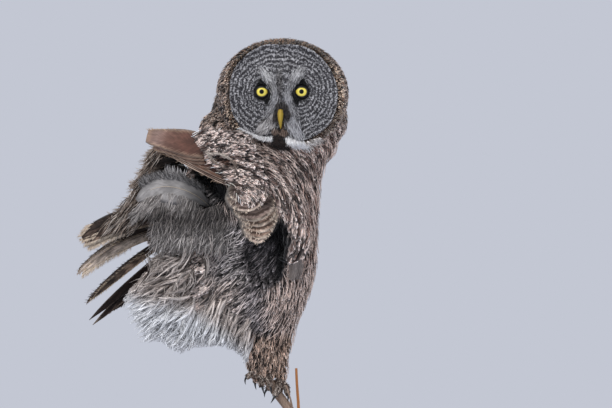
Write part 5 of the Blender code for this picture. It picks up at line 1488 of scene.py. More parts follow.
lines = lined_up(start, lie[pick] + draw.normal(0, 0.15, (1500, 3)),
    np.tile(np.array((0.0, -1.0, 0.1)), (1500, 1)),
    13.0 * draw.uniform(0.7, 1.3, 1500), draw.uniform(0.35, 0.6, 1500), -0.15, draw.normal(0, 0.2, 1500), 4)
threads = body_looks(lines, draw)
threads["ground"] = np.clip(threads["ground"] * draw.choice((0.7, 1.2, 1.7), 1500)[:, None, None], 0, 0.9)
threads["marks"] = np.zeros((1500, 3))
woven("scapular_threads", lines, np.tile(np.array((0.0, -1.0, 0.1)), (1500, 1)),
    np.full((1500, 1), 0.5) * STRAND_PROFILE,
    STRAND, 0.35, 0.0, threads, body_unwrap(start), loose_barb)

# Lips of the slit: pale barbs of the feathers above and below it lie along its edge.
count = 260
edge = np.concatenate((SLIT_SHAPE, SLIT_SHAPE[:1]))
run = draw.random(count) * (len(edge) - 1)
k = np.minimum(run.astype(int), len(edge) - 2)
spot = edge[k] + (edge[k + 1] - edge[k]) * (run - k)[:, None]
away = unit(spot - SLIT_SHAPE.mean(axis=0))
spot = spot + away * draw.uniform(-0.5, 2.6, (count, 1))
root = np.stack((spot[:, 0], over_wing(spot[:, 0], spot[:, 1] + 3.0) - 3.5, spot[:, 1]), axis=1)
way = edge[k + 1] - edge[k]
way = unit(way * np.where(way[:, :1] > 0, 1.0, -1.0))
aim = np.stack((way[:, 0], np.full(count, -0.05), way[:, 1]), axis=1) + draw.normal(0, 0.1, (count, 3))
lines = lined_up(root - aim * 4.0, aim, np.tile(np.array((0.0, -1.0, 0.0)), (count, 1)),
    9.0 * draw.uniform(0.7, 1.3, count),
    0.1, 0.0, draw.normal(0, 0.1, count), 4)
above = away[:, 1] > 0
tint = np.where(above[:, None], colour("#d8cabd"), colour("#8f7e72")) * draw.uniform(0.35, 1.05, (count, 1))
lips = {"ground": tint, "ink": tint * 0.4, "rim": tint, "marks": np.zeros((count, 3)),
    "chance": draw.random(count)}
woven("slit_lips", lines, np.tile(np.array((0.0, -1.0, 0.1)), (count, 1)),
    np.full((count, 1), 0.5) * STRAND_PROFILE,
    STRAND, 0.4, 0.0, lips, body_unwrap(root), loose_barb)

# Mantle edge: longer feathers that lap over the wing from the breast side and end in a point.
draw = np.random.default_rng(149)
count = 150
share = draw.random(count) ** 0.85
roots = along_path(MANTLE_EDGE[1:], share) + draw.normal(0, 1.0, (count, 3)) * np.array((5.0, 1.5, 3.0))
roots[:, 1] -= 7.0
heading = unit(along_path(MANTLE_EDGE[1:], np.minimum(share + 0.2, 1.0))
    - along_path(MANTLE_EDGE[1:], np.maximum(share - 0.05, 0)))
lie = unit(heading + np.array((-0.1, 0.0, -0.25)) + draw.normal(0, 0.1, (count, 3)))
facing = np.tile(np.array((-0.2, -1.0, 0.05)), (count, 1))
centres = lined_up(roots, lie, facing, 24.0 * draw.uniform(0.8, 1.15, count), 0.16, 0.0,
    draw.normal(0, 0.08, count), 5)
centres[..., 2] = np.maximum(centres[..., 2], 309.0 + 0.5 * np.abs(centres[..., 0] - 24.0))
half = draw.uniform(2.2, 3.2, (count, 1)) * LEAF_PROFILE
woven("mantle_edge", centres, facing, half, LEAF, 0.45, 0.3, body_looks(centres, draw), body_unwrap(roots),
    contour_vane)

# Mantle's point: its last feathers stand off the belly along a slanting edge, over one patch of smooth grey
# feathers darkened as painted shade under the point.
POINT_EDGE = np.array(((16.0, 334.0), (20.0, 318.0), (25.0, 309.5), (34.0, 312.0), (46.0, 320.0)))
count = 170
share = draw.random(count)
edge = np.stack([np.interp(share * (len(POINT_EDGE) - 1), np.arange(len(POINT_EDGE)),
    POINT_EDGE[:, i]) for i in (0, 1)],
    axis=-1) + draw.normal(0, 0.8, (count, 2))
edge[:, 1] += draw.uniform(0.0, 12.0, count)
tips = np.array([on_side(x, z, 1, 9.0) for x, z in edge])
roots = np.array([on_side(x + 3.0, z + 17.0, 1, 4.0) for x, z in edge])
centres = bent(roots, (roots + tips) / 2 + np.array((0.0, -2.5, 0.0)), tips, 5)
facing = np.tile(np.array((0.1, -1.0, 0.05)), (count, 1))
half = draw.uniform(1.8, 2.8, (count, 1)) * LEAF_PROFILE
woven("mantle_point", centres, facing, half, LEAF, 0.45, 0.3, body_looks(centres, draw), body_unwrap(roots),
    contour_vane)
# The grey patch: smooth feathers coloured dark as painted shade under the mantle's point.
count = 9
x = np.linspace(24.0, 36.0, count)
tips = np.array([on_side(a, draw.uniform(284.0, 293.0), 1, 5.0) for a in x])
roots = np.array([on_side(a + 2.0, draw.uniform(308.0, 318.0), 1, 4.0) for a in x])
centres = bent(roots, (roots + tips) / 2, tips, len(BLUNT_PROFILE))
looks = vane_looks(draw, count, "#756b65", "#3e3632", "#978d87", (0.3, 0.2, 0.4))
woven("grey_patch", centres, np.tile(np.array((0.05, -1.0, 0.0)), (count, 1)),
    3.4 * BLUNT_PROFILE[None] * np.ones((count, 1)),
    VANE, 0.6, 0.15, looks, body_unwrap(roots), smooth_vane)

# Far wing, folded along the other side: ten long flight feathers that reach past the vent, three rows of
# coverts over their roots, all dark brown with paler bars and edges.
FAR_TIPS = np.array(((-239.5, 38.0, 233.5), (-235.0, 41.0, 227.0), (-212.0, 44.0, 244.0),
    (-198.0, 48.0, 256.0),
    (-186.0, 52.0, 266.0), (-176.0, 55.0, 273.0), (-167.0, 58.0, 279.0), (-159.0, 61.0, 284.0),
    (-154.0, 64.0, 288.0), (-150.0, 66.0, 291.0)))
FAR_FIRST_ROOTS = np.array(((-90.0, 48.0, 362.0), (-92.0, 50.0, 354.0), (-86.0, 53.0, 346.0)))
far_arm = np.array([on_side(x, z, -1, thick) for x, z, _, thick in LEFT_ARM_ROWS])


def arm_spot(share):
    return np.stack([np.interp(share * (len(far_arm) - 1), np.arange(len(far_arm)),
        far_arm[:, i]) for i in range(3)],
        axis=-1)


draw = np.random.default_rng(151)
count = len(FAR_TIPS)
roots = arm_spot(np.linspace(0.95, 0.42, count)) + np.array((0.0, 2.0, 0.0))
roots[:3] = FAR_FIRST_ROOTS
tips = FAR_TIPS
centres = bent(roots, (roots + tips) / 2 + np.array((0.0, 8.0, 3.0)), tips, len(QUILL_PROFILE))
facing = np.tile(np.array((0.0, 1.0, 0.12)), (count, 1))
half = np.array((6.0, 6.0, 8.0, 9.0, 9.5, 9.5, 9.5, 9.5, 9.5, 9.5))[:, None] * BLADE_PROFILE
looks = vane_looks(draw, count, "#241813", "#0f0907", "#7f6c5d", (0.2, 0.4, 0.25))
looks["rim"][1] = colour("#c7b29d")
far_quills = woven("far_flight_feathers", centres, facing, half, VANE, 0.8, 0.15, looks, body_unwrap(roots),
    flight_vane)
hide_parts("left_wing")
edge_barbs("far_flight_barbs", centres[2:], facing[2:], half[2:], 300, 4.0,
    {key: value[2:] for key, value in looks.items()}, 152, 0.5)
for row, (low, high, number, length, half_wide, tint) in enumerate((
    (0.3, 1.0, 15, 52.0, 9.0, "#6b5a50"), (0.12, 0.98, 22, 34.0, 7.0, "#857469"),
    (0.02, 0.95, 30, 24.0, 5.0, "#9c8c82"))):
    share = np.linspace(high, low, number)
    roots = arm_spot(share) + np.array((6.0, 1.0 + 1.2 * row, 4.0 + 8.0 * row))
    lie = unit(np.array((-0.75, 0.0, -0.7)) + draw.normal(0, 0.06, (number, 3)))
    tips = roots + lie * length * draw.uniform(0.9, 1.1, (number, 1)) + np.array((0.0, 3.0 + row, 0.0))
    centres = bent(roots, (roots + tips) / 2 + np.array((0.0, 3.0, 0.0)), tips, len(ROUND_PROFILE))
    facing = np.tile(np.array((0.0, 1.0, 0.1)), (number, 1))
    half = half_wide * np.ones((number, 1)) * ROUND_PROFILE
    looks = vane_looks(draw, number, tint, "#35271f", "#b3a293", (0.3, 0.6, 0.8))
    coverts = woven(f"far_coverts_{row + 1}", centres, facing, half, VANE, 0.6, 0.2, looks,
        body_unwrap(roots), flight_vane)
    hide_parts("left_wing")
# Scapulars of the far side close over the top of the coverts
draw = np.random.default_rng(158)
count = 560
share = draw.uniform(0.08, 0.97, count)
roots = arm_spot(share) + np.stack((draw.uniform(-8.0, 20.0, count), draw.uniform(3.5, 7.5, count),
    draw.uniform(2.0, 27.0, count)), axis=1)
lie = unit(np.stack((-0.75 + 0.6 * share, np.zeros(count), -0.45 - 0.5 * share), axis=1)
    + draw.normal(0, 0.1, (count, 3)))
facing = np.tile(np.array((0.0, 1.0, 0.1)), (count, 1))
centres = lined_up(roots, lie, facing, 20.0 * draw.uniform(0.8, 1.2, count), 0.05, -0.05,
    draw.normal(0, 0.1, count), 5)
half = draw.uniform(3.0, 4.6, (count, 1)) * LEAF_PROFILE
woven("far_scapulars", centres, facing, half, LEAF, 0.45, 0.3, body_looks(centres, draw, (0.3, 0.9, 1.4)),
    body_unwrap(roots), contour_vane)

# Tail: twelve long feathers in three sheaves, held half spread. Mottled brown vanes, crossed by pale
# bars; in each sheaf the upper ones are dark and the lowest, which laps over them, is frayed and buff.
TAIL_ROOT = np.array((-122.0, 6.0, 362.0))
SHEAF_TIPS = np.array(((-247.0, -46.0, 338.0), (-256.0, -22.0, 294.0), (-245.0, 6.0, 254.5)))
SHEAF_FEATHERS = 4
SHEAF_SPREADS = (5.2, 2.6, 1.2)
SHEAF_HALF_WIDTHS = (11.0, 8.5, 4.6)
SHEAF_ARCHES = (24.0, 22.0, 9.0)
SHEAF_TINTS = ("#8d7766", "#6b594d", "#4c3d34", "#2f251f")
draw = np.random.default_rng(161)
roots, tips, mids = [], [], []
for sheaf, middle in enumerate(SHEAF_TIPS):
    heading = unit(middle - TAIL_ROOT)
    spread = unit(np.array((-heading[2], 0.25, heading[0])))
    for step in np.arange(SHEAF_FEATHERS) - (SHEAF_FEATHERS - 1) / 2:
        root = TAIL_ROOT + np.array((-3.0 * sheaf, 3.0 * sheaf - 3.0,
            8.0 - 12.0 * sheaf)) - spread * 1.5 * step
        tip = middle - spread * SHEAF_SPREADS[sheaf] * step - heading * (abs(step) * 5.0
            + draw.uniform(0.0, 4.0))
        tip = tip + np.array((0.0, 2.6 * step, 0.0))
        roots.append(root)
        tips.append(tip)
        mids.append((root + tip) / 2 + np.array((0.0, -3.0, SHEAF_ARCHES[sheaf])))
roots, tips, mids = (np.array(v) for v in (roots, tips, mids))
count = len(roots)
centres = bent(roots, mids, tips, len(QUILL_PROFILE))
facing = np.tile(np.array((0.1, -1.0, 0.45)), (count, 1))
half = np.repeat(SHEAF_HALF_WIDTHS, SHEAF_FEATHERS)[:, None] * np.repeat(
    (QUILL_PROFILE, TAPER_PROFILE, BLADE_PROFILE), SHEAF_FEATHERS, axis=0)
looks = vane_looks(draw, count, "#6b594d", "#211712", "#c9b196", (0.3, 0.75, 0.35))
looks["marks"][SHEAF_FEATHERS:2 * SHEAF_FEATHERS - 1] = (0.2, 0.3, 0.4)
looks["ground"] = np.tile(np.stack([colour(tint) for tint in SHEAF_TINTS]), (3, 1))
looks["ground"][SHEAF_FEATHERS:2 * SHEAF_FEATHERS - 1] = [colour(tint) for tint in ("#b9aa9c", "#a4968a",
    "#857768")]
looks["rim"] = looks["ground"] * 1.5
looks["rim"][::SHEAF_FEATHERS] = colour("#d9c4a8")
# Painted shade: each tail feather darkens towards its root, under the rump. The lowest sheaf is also made
# darker towards its tip.
toward_tip = np.linspace(0, 1, len(QUILL_PROFILE))[:, None]
looks["ground"] = looks["ground"][:, None] * np.interp(toward_tip, (0.0, 0.25, 0.6, 1.0),
    (0.25, 0.6, 1.0, 1.1))
looks["ground"][2 * SHEAF_FEATHERS:] *= np.interp(toward_tip, (0.0, 0.55, 0.75), (1.2, 1.0, 0.25))
tail = woven("tail_feathers", centres, facing, half, VANE, 0.9, 0.15, looks, body_unwrap(roots),
    flight_vane)
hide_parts("tail")
plain = {key: value[:, -4] if value.ndim == 3 else value for key, value in looks.items()}
lowest = [0, 1, 4]
fringe = {key: value[lowest] for key, value in plain.items()}
fringe["rim"] = colour("#d8c9b8") * np.array(((1.0,), (0.6,), (1.0,)))
edge_barbs("tail_fringe", centres[lowest], facing[lowest], half[lowest], 900, 7.0, fringe, 162, 0.5, 0.27,
    0.9, (-1.0,))
edge_barbs("tail_edge", centres, facing, half, 900, 4.0, plain, 163, 0.3, 0.3)
# The uppermost sheaf is worn at the tip: its barbs end in a pale fringe
wear_and_shade = {key: value[:SHEAF_FEATHERS] for key, value in plain.items()}
wear_and_shade["rim"] = np.tile(colour("#d5c3ae"), (SHEAF_FEATHERS, 1))
edge_barbs("tail_tip", centres[:SHEAF_FEATHERS], facing[:SHEAF_FEATHERS], half[:SHEAF_FEATHERS], 420, 6.5,
    wear_and_shade, 164, 0.88,
    0.3, 0.4)

# Rump: broad soft feathers that fan from under the folded wing down to the tail, dark in the shade of the
# wing, mottled brown with pale edges below it. Over them lies one long grey feather, bent by its own
# spring along its buff shaft, and behind that a row of white barbs stands up in the dark of the wing.
RUMP_TIPS = np.array(((-158.0, -30.0, 453.0), (-168.0, -30.0, 430.0), (-176.0, -28.0, 412.0),
    (-190.0, -26.0, 388.0),
    (-208.0, -24.0, 368.0), (-222.0, -24.0, 358.0)))
RUMP_ROOTS = np.array(((-122.0, -26.0, 462.0), (-118.0, -30.0, 444.0), (-112.0, -36.0, 428.0),
    (-110.0, -42.0, 408.0),
    (-112.0, -44.0, 392.0), (-120.0, -42.0, 378.0)))
RUMP_FEATHERS = 52
BENT_FEATHER = np.array(((-80.0, -58.0, 382.0), (-88.0, -60.0, 390.0), (-98.0, -62.0, 397.0),
    (-113.0, -63.0, 404.5),
    (-133.0, -62.0, 408.5), (-150.0, -59.0, 406.5), (-163.0, -56.0, 400.0), (-174.0, -52.0, 390.0)))
BENT_ABOVE = 17.0
BENT_BELOW = 22.0


def smooth_path(path, stations):
    """Evenly set stations on a rounded path through the points."""
    fine = along_path(path, np.linspace(0, 1, 80))
    for _ in range(20):
        fine[1:-1] = (fine[:-2] + fine[1:-1] * 2 + fine[2:]) / 4
    run = np.concatenate(((0,), np.cumsum(np.linalg.norm(np.diff(fine, axis=0), axis=1))))
    return np.stack([np.interp(np.linspace(0, run[-1], stations), run, fine[:, i]) for i in range(3)],
        axis=-1)


BARB_PROFILE = np.array(((0.7, 1.0, 0.9, 0.6, 0.1),))


def plain_threads(name, starts, ends, bow, half, tints, draw, facing=(0.0, -1.0, 0.1)):
    """Single loose barbs from their starts to their ends, each in one tint."""
    count = len(starts)
    lines = bent(starts, (starts + ends) / 2 + draw.normal(0, bow, (count, 3)), ends, 5)
    looks = {"ground": tints, "ink": tints * 0.5, "rim": tints, "marks": np.zeros((count, 3)),
        "chance": draw.random(count)}
    return woven(name, lines, np.tile(np.array(facing), (count, 1)), half * BARB_PROFILE, STRAND, 0.4, 0.0,
        looks,
        body_unwrap(starts), loose_barb)


draw = np.random.default_rng(165)
count = RUMP_FEATHERS
share = (np.arange(count) + 0.5) / count
tips = along_path(RUMP_TIPS, share) + draw.normal(0, 3.0,
    (count, 3)) + np.array((6.0, 0.0, 0.0)) * draw.random((count, 1))
roots = along_path(RUMP_ROOTS, share) + draw.normal(0, 3.0, (count, 3))
tips[:, 1] += draw.uniform(-6, 22, count)
roots[:, 1] += draw.uniform(0, 26, count)
centres = bent(roots, (roots + tips) / 2 + np.array((-4.0, -5.0, 5.0)), tips, len(ROUND_PROFILE))
facing = np.tile(np.array((-0.35, -1.0, 0.35)), (count, 1))
half = draw.uniform(5.0, 9.0, (count, 1)) * ROUND_PROFILE
looks = vane_looks(draw, count, "#5d4d42", "#1b130f", "#a8988a", (0.5, 0.5, 0.45))
lower = ease(share, 0.5, 0.75)[:, None]
looks["ground"] = looks["ground"] * (1 - lower) + colour("#7c6a5d") * lower
shaded = np.linspace(0, 1, len(ROUND_PROFILE))[None, :, None]
root_shade = np.interp(shaded, (0.0, 0.45, 0.8), (0.03, 0.25, 1.0)) * (1 - lower[:, None]) + lower[:,
    None] * (0.5 + 0.5 * shaded)
for key in ("ground", "ink", "rim"):
    looks[key] = looks[key][:, None] * root_shade
woven("rump_feathers", centres, facing, half, VANE, 0.7, 0.25, looks, body_unwrap(roots), flight_vane)
plain = {key: value[:, -2] if value.ndim == 3 else value for key, value in looks.items()}
edge_barbs("rump_barbs", centres, facing, half, 1700, 8.0, plain, 166, 0.4, 0.35)
count = 1500
share = draw.random(count)
edge = along_path(RUMP_TIPS, share)
starts = edge + np.stack((draw.uniform(4.0, 44.0, count), draw.uniform(-20.0, 4.0, count),
    draw.uniform(-6.0, 6.0, count)), axis=1)
starts = starts[(share > 0.42) | (starts[:, 0] < edge[:, 0] + 16.0)]
count = len(starts)
ends = starts + np.array((-0.62, -0.05, -0.78)) * draw.uniform(9.0, 24.0, (count, 1)) + draw.normal(0, 1.5,
    (count, 3))
tints = np.stack((colour("#c8bcb0"), colour("#8f7f72"), colour("#33271f")))[draw.choice(3, count,
    p=(0.3, 0.35, 0.35))]
plain_threads("rump_streaks", starts, ends, 1.5, 0.55, tints * draw.uniform(0.8, 1.25, (count, 1)), draw,
    (-0.3, -1.0, 0.3))

line = smooth_path(BENT_FEATHER, 15)[None]
facing = np.array(((-0.05, -1.0, 0.25),))
width = BENT_ABOVE * np.array(((0.1, 0.28, 0.46, 0.64, 0.8, 0.92, 1.0, 1.05, 1.0, 0.95, 0.85, 0.7, 0.52,
    0.34, 0.15),))
shade = np.interp(np.linspace(0, 1, 15), (0.0, 0.2, 0.45, 0.8, 1.0), (0.08, 0.22, 0.75, 1.0, 1.1))[None, :,
    None]
grey = {"ground": colour("#8f8b88") * shade, "ink": colour("#4a4542") * shade,
    "rim": colour("#5d5855") * shade,
    "marks": np.array(((0.0, 0.0, 0.5),)), "chance": np.array((0.4,))}
woven("bent_feather", line, facing, width, VANE, 0.8, 0.02, grey, body_unwrap(line[:, 0]), smooth_vane,
    lean=np.array((BENT_BELOW / BENT_ABOVE,)))
shaft_line = line[:, :12] + np.array((0.0, -1.3, 0.0))
shaft_shade = shade[:, :12]
shaft = dict(grey, ground=colour("#e3cfb4") * shaft_shade, rim=colour("#e3cfb4") * shaft_shade,
    ink=colour("#4a4542") * shaft_shade, marks=np.zeros((1, 3)))
woven("bent_feather_shaft", shaft_line, facing, np.linspace(0.6, 0.15, 12)[None], STRAND, 0.5, 0.0, shaft,
    body_unwrap(line[:, 0]), loose_barb)
# Its barbs: grey and soft above the shaft, streaked where it frays at the left, and lost in dark down below
fine = smooth_path(BENT_FEATHER, 60)
count = 1000
pick = draw.integers(4, 60, count)
starts = fine[pick] + np.stack((draw.normal(0, 1.5, count), draw.uniform(-3.5, -1.5, count),
    draw.uniform(-24, -8, count)), axis=1)
far = ease(-starts[:, 0], 128.0, 165.0)
aim = np.stack((-0.25 - 0.5 * far, np.zeros(count), np.full(count, -0.9)), axis=1)
ends = starts + unit(aim + draw.normal(0, 0.12, (count, 3))) * draw.uniform(9.0, 20.0, (count, 1))
pale = draw.random(count) < 0.35 + 0.3 * far
tints = np.where(pale[:, None], colour("#c9c1bb"), colour("#7f7873")) * draw.uniform(0.6, 1.15, (count, 1))
# Painted shade: the barbs darken towards the right, under the overhanging wing.
tints *= np.interp(starts[:, 0], (-120.0, -85.0), (1.0, 0.3))[:, None]
plain_threads("bent_feather_barbs", starts, ends, 1.2, 0.45, tints, draw)
count = 2300
x = draw.uniform(-152.0, -46.0, count)
starts = np.stack((x, np.full(count, -62.0) + draw.uniform(-4.0, 3.0, count),
    draw.uniform(334.0, 388.0, count)), axis=1)
starts[:, 2] = np.minimum(starts[:, 2], np.interp(x, (-150.0, -120.0, -90.0, -70.0, -46.0),
    (380.0, 382.0, 378.0, 384.0, 392.0)))
ends = starts + np.stack((draw.normal(-5, 4, count), draw.uniform(-3, 3, count),
    -draw.uniform(8.0, 22.0, count)), axis=1)
deep = ease(starts[:, 2], 336.0, 374.0)[:, None]
tints = (colour("#9b9591") * (1 - deep) + colour("#5a5450") * deep) * draw.choice((0.4, 1.0, 2.0), count,
    p=(0.3, 0.4, 0.3))[:, None]
plain_threads("shaded_down", starts, ends, 2.5, 0.45, tints, draw)
count = 80
x = draw.uniform(-138.0, -110.0, count)
foot = np.stack((x, draw.uniform(-56.0, -48.0, count), np.interp(x, (-133.0, -108.0), (420.0, 414.0))),
    axis=1)
head = foot + np.stack((draw.normal(0, 1.5, count), draw.uniform(-2, 3, count),
    draw.uniform(6.0, 18.0, count)), axis=1)
tint = colour("#cfcbca") * draw.uniform(0.2, 1.1, (count, 1))
plain_threads("standing_barbs", foot, head, 0.6, 0.9, tint, draw)
count = 420
pick = draw.integers(6, 56, count)
starts = fine[pick] + np.stack((draw.normal(0, 1.5, count), draw.uniform(-1.5, 2.0, count),
    draw.uniform(9.0, 15.5, count)), axis=1)
ends = starts + unit(np.array((-0.45, 0.0, 0.8)) + draw.normal(0, 0.2, (count, 3))) * draw.uniform(5.0,
    10.0, (count, 1))
# Painted shade: these threads also darken towards the right, under the wing.
tint = colour("#8f8b89") * draw.uniform(0.25, 1.3, (count, 1)) * np.interp(starts[:, 0], (-125.0, -88.0),
    (1.0, 0.2))[:, None]
plain_threads("bent_feather_top", starts, ends, 0.8, 0.5, tint, draw)

# Loose plumage of vent, flanks and rump: long soft feathers of down, blown back and down, that end in
# curled threads. Each tuft is a soft tapered vane with a sheaf of threads, mid grey with a white hem.
VENT_CENTRE = np.array((-98.0, -8.0, 282.0))
VENT_HALF_SIZE = np.array((40.0, 46.0, 58.0))
TUFT_LENGTH = 62.0
TUFT_THREADS = 8
LOWEST_TUFT = 196.0
# Lower edge of the tail, which the tufts stay under
FLUFF_OUTLINE = np.array(((-200.0, 197.0), (-173.0, 197.0), (-147.0, 212.0), (-131.0, 199.0),
    (-118.0, 193.0),
    (-105.0, 201.0), (-70.0, 204.0), (-51.0, 198.0), (-39.0, 189.0), (-30.0, 170.0)))


def under_tail(x):
    return TAIL_ROOT[2] - 34.0 - (TAIL_ROOT[0] - x) * 0.9


# Height below which the fluff is white: along X, height
HEM_EDGE = np.array(((-190.0, 266.0), (-150.0, 256.0), (-110.0, 250.0), (-70.0, 226.0), (-36.0, 198.0)))


def fluff_looks(centres, draw):
    """Grey tufts, each with its own tint, shaded up under the tail and white in the hem."""
    count = len(centres)
    x, z = centres[..., 0], centres[..., 2]
    tints = np.stack([colour(tint) for tint in ("#bcb0a8", "#d6cac1", "#978b83")])[draw.choice(3, count,
        p=(0.35, 0.45, 0.2))]
    hem = ease(np.interp(x, HEM_EDGE[:, 0], HEM_EDGE[:, 1]) - z, -16.0, 16.0)[..., None]
    ground = tints[:, None] * draw.uniform(0.75, 1.2, (count, 1, 1)) * np.interp(z, (255.0, 300.0, 350.0),
        (1.12, 0.98, 0.7))[..., None]
    ground = ground * (1 - hem) + colour("#ffffff") * hem * draw.uniform(0.85, 1.0, (count, 1, 1))
    # Towards the thigh the down gives way to barred belly feathers
    mottled = ease(x, -92.0, -50.0)[..., None]
    marks = np.array((0.1, 0.2, 0.4)) + np.array((0.1, 0.5, 0.0)) * mottled[:, 0]
    return {"ground": ground, "ink": ground * 0.5, "rim": no_brighter(ground * 1.35, 0.95), "marks": marks,
        "chance": draw.random(count)}


draw = np.random.default_rng(171)
number = 900
golden = math.pi * (3 - math.sqrt(5))
index = np.arange(number)
height = 1 - 2 * (index + 0.5) / number
flat = np.sqrt(1 - height**2)
outs = np.stack((-np.abs(np.cos(golden * index)) * flat, np.sin(golden * index) * flat, height), axis=1)
roots = VENT_CENTRE + outs * (VENT_HALF_SIZE - 8.0)
lie = unit(outs * 0.5 + np.array((-0.72, 0.0, -0.56)) + draw.normal(0, 0.26, (number, 3)))
size = TUFT_LENGTH * draw.uniform(0.7, 1.1, number)
tips = roots + lie * size[:, None]
in_front = (tips[:, 1] < -38.0) & (tips[:, 0] > -160.0)
below_tail = np.minimum(tips[:, 2], under_tail(tips[:, 0]) - draw.uniform(2.0, 14.0, number))
tips[:, 2] = np.where(in_front, tips[:, 2], below_tail)
tips[:, 2] = np.maximum(tips[:, 2], np.interp(tips[:, 0], FLUFF_OUTLINE[:, 0], FLUFF_OUTLINE[:, 1])
    + draw.uniform(0, 9, number))
stays = ((roots[:, 2] < under_tail(roots[:, 0]) - 6.0) | in_front) & (tips[:, 1] < 36.0)
roots, tips, outs = roots[stays], tips[stays], outs[stays]
count = len(roots)
mids = (roots + tips) / 2 + outs * draw.uniform(4.0, 14.0, (count, 1)) + draw.normal(0, 6.0, (count, 3))
centres = bent(roots, mids, tips, 7)
half = draw.uniform(1.8, 3.4, (count, 1)) * np.array((0.5, 0.85, 1.0, 0.95, 0.8, 0.5, 0.1))
tufts_made = woven("vent_tufts", centres, outs, half, LEAF, 0.6, 0.3, fluff_looks(centres, draw),
    body_unwrap(roots), loose_barb)
pick = np.repeat(np.arange(count), TUFT_THREADS)
number = len(pick)
t0 = draw.uniform(0.15, 0.75, number)[:, None]
start = roots[pick] * (1 - t0) ** 2 + mids[pick] * 2 * t0 * (1 - t0) + tips[pick] * t0**2
heading = unit(tips[pick] - mids[pick]) + draw.normal(0, 0.28, (number, 3))
size = draw.uniform(8.0, 20.0, number)
ends = start + unit(heading) * size[:, None]
ends[:, 2] = np.maximum(ends[:, 2], np.interp(ends[:, 0], FLUFF_OUTLINE[:, 0], FLUFF_OUTLINE[:, 1]) - 1.0)
middle = (start + ends) / 2 + outs[pick] * draw.uniform(1.0, 6.0, (number, 1)) + draw.normal(0, 2.5,
    (number, 3))
centres = bent(start + outs[pick] * 1.5, middle, ends, 5)
half = np.full((number, 1), 0.42) * np.array((0.7, 1.0, 0.9, 0.6, 0.1))
woven("vent_threads", centres, outs[pick], half, STRAND, 0.4, 0.0, fluff_looks(centres, draw),
    body_unwrap(start), loose_barb)

# Skirt: the belly's last feathers, which hang over the thighs and end in the same white hem.
SKIRT_TUFTS = 760
draw = np.random.default_rng(175)
x = draw.uniform(-140.0, -34.0, SKIRT_TUFTS)
drop = np.interp(x, FLUFF_OUTLINE[:, 0], FLUFF_OUTLINE[:, 1])
tips = np.stack((x, draw.uniform(-44.0, 26.0, SKIRT_TUFTS),
    drop + draw.uniform(0.0, 34.0, SKIRT_TUFTS) ** 1.0), axis=1)
roots = tips + np.stack((draw.uniform(6.0, 22.0, SKIRT_TUFTS), draw.uniform(-2, 8, SKIRT_TUFTS),
    draw.uniform(26.0, 40.0, SKIRT_TUFTS)), axis=1)
roots[:, 0] = np.minimum(roots[:, 0], -20.0)
outs = unit(np.stack((draw.uniform(-0.4, 0.1, SKIRT_TUFTS), np.where(tips[:, 1] < -6.0, -1.0, 1.0),
    np.full(SKIRT_TUFTS, -0.3)), axis=1))
mids = (roots + tips) / 2 + outs * draw.uniform(2.0, 9.0, (SKIRT_TUFTS, 1)) + draw.normal(0, 2.0,
    (SKIRT_TUFTS, 3))
centres = bent(roots, mids, tips, 6)
half = draw.uniform(1.4, 2.8, (SKIRT_TUFTS, 1)) * np.array((0.5, 0.9, 1.0, 0.9, 0.6, 0.1))
woven("skirt_tufts", centres, outs, half, LEAF, 0.5, 0.3, fluff_looks(centres, draw), body_unwrap(roots),
    loose_barb)
pick = draw.integers(0, SKIRT_TUFTS, 3600)
t0 = draw.uniform(0.3, 0.95, 3600)[:, None]
start = roots[pick] * (1 - t0) ** 2 + mids[pick] * 2 * t0 * (1 - t0) + tips[pick] * t0**2
heading = unit(tips[pick] - mids[pick]) + draw.normal(0, 0.3, (3600, 3))
ends = start + unit(heading) * draw.uniform(8.0, 20.0, 3600)[:, None]
ends[:, 2] = np.maximum(ends[:, 2], np.interp(ends[:, 0], FLUFF_OUTLINE[:, 0], FLUFF_OUTLINE[:, 1]) - 3.0)
middle = (start + ends) / 2 + outs[pick] * draw.uniform(0.5, 4.0, (3600, 1)) + draw.normal(0, 2.2,
    (3600, 3))
centres = bent(start, middle, ends, 4)
half = np.full((3600, 1), 0.5) * np.array((0.7, 1.0, 0.8, 0.1))
woven("skirt_threads", centres, outs[pick], half, STRAND, 0.4, 0.0, fluff_looks(centres, draw),
    body_unwrap(start), loose_barb)

# Curls: long down plumes that the wind has turned over on the flank, pale, with dark ones among them as
# painted shade beneath.
# Where each curl starts, where it bends, where it ends
CURLS = np.array((
    ((-146.0, 360.0), (-132.0, 352.0), (-138.0, 318.0)),
    ((-138.0, 362.0), (-122.0, 350.0), (-130.0, 316.0)),
    ((-150.0, 352.0), (-138.0, 338.0), (-152.0, 318.0)), ((-106.0, 352.0), (-98.0, 340.0), (-108.0, 318.0)),
    ((-112.0, 334.0), (-106.0, 318.0), (-128.0, 300.0)),
    ((-104.0, 328.0), (-102.0, 312.0), (-122.0, 296.0)),
    ((-82.0, 356.0), (-74.0, 342.0), (-78.0, 322.0)), ((-74.0, 352.0), (-64.0, 336.0), (-68.0, 318.0)),
    ((-104.0, 300.0), (-98.0, 286.0), (-112.0, 268.0)), ((-112.0, 292.0), (-108.0, 278.0), (-124.0, 262.0)),
    ((-90.0, 320.0), (-80.0, 308.0), (-88.0, 288.0)), ((-160.0, 318.0), (-150.0, 300.0), (-168.0, 280.0))))
CURL_VANES = 7
draw = np.random.default_rng(181)
count = len(CURLS) * CURL_VANES
lines = np.repeat(CURLS, CURL_VANES, axis=0) + draw.normal(0, 2.6, (count, 3, 2))
depth = np.where(lines[:, 0, 0] < -125.0, -48.0, -56.0)[:, None] + draw.uniform(-7.0, 2.0,
    (count, 1)) + np.array((0.0, -6.0, -2.0))
points = np.stack((lines[..., 0], depth, lines[..., 1]), axis=-1)
centres = bent(points[:, 0], points[:, 1], points[:, 2], 8)
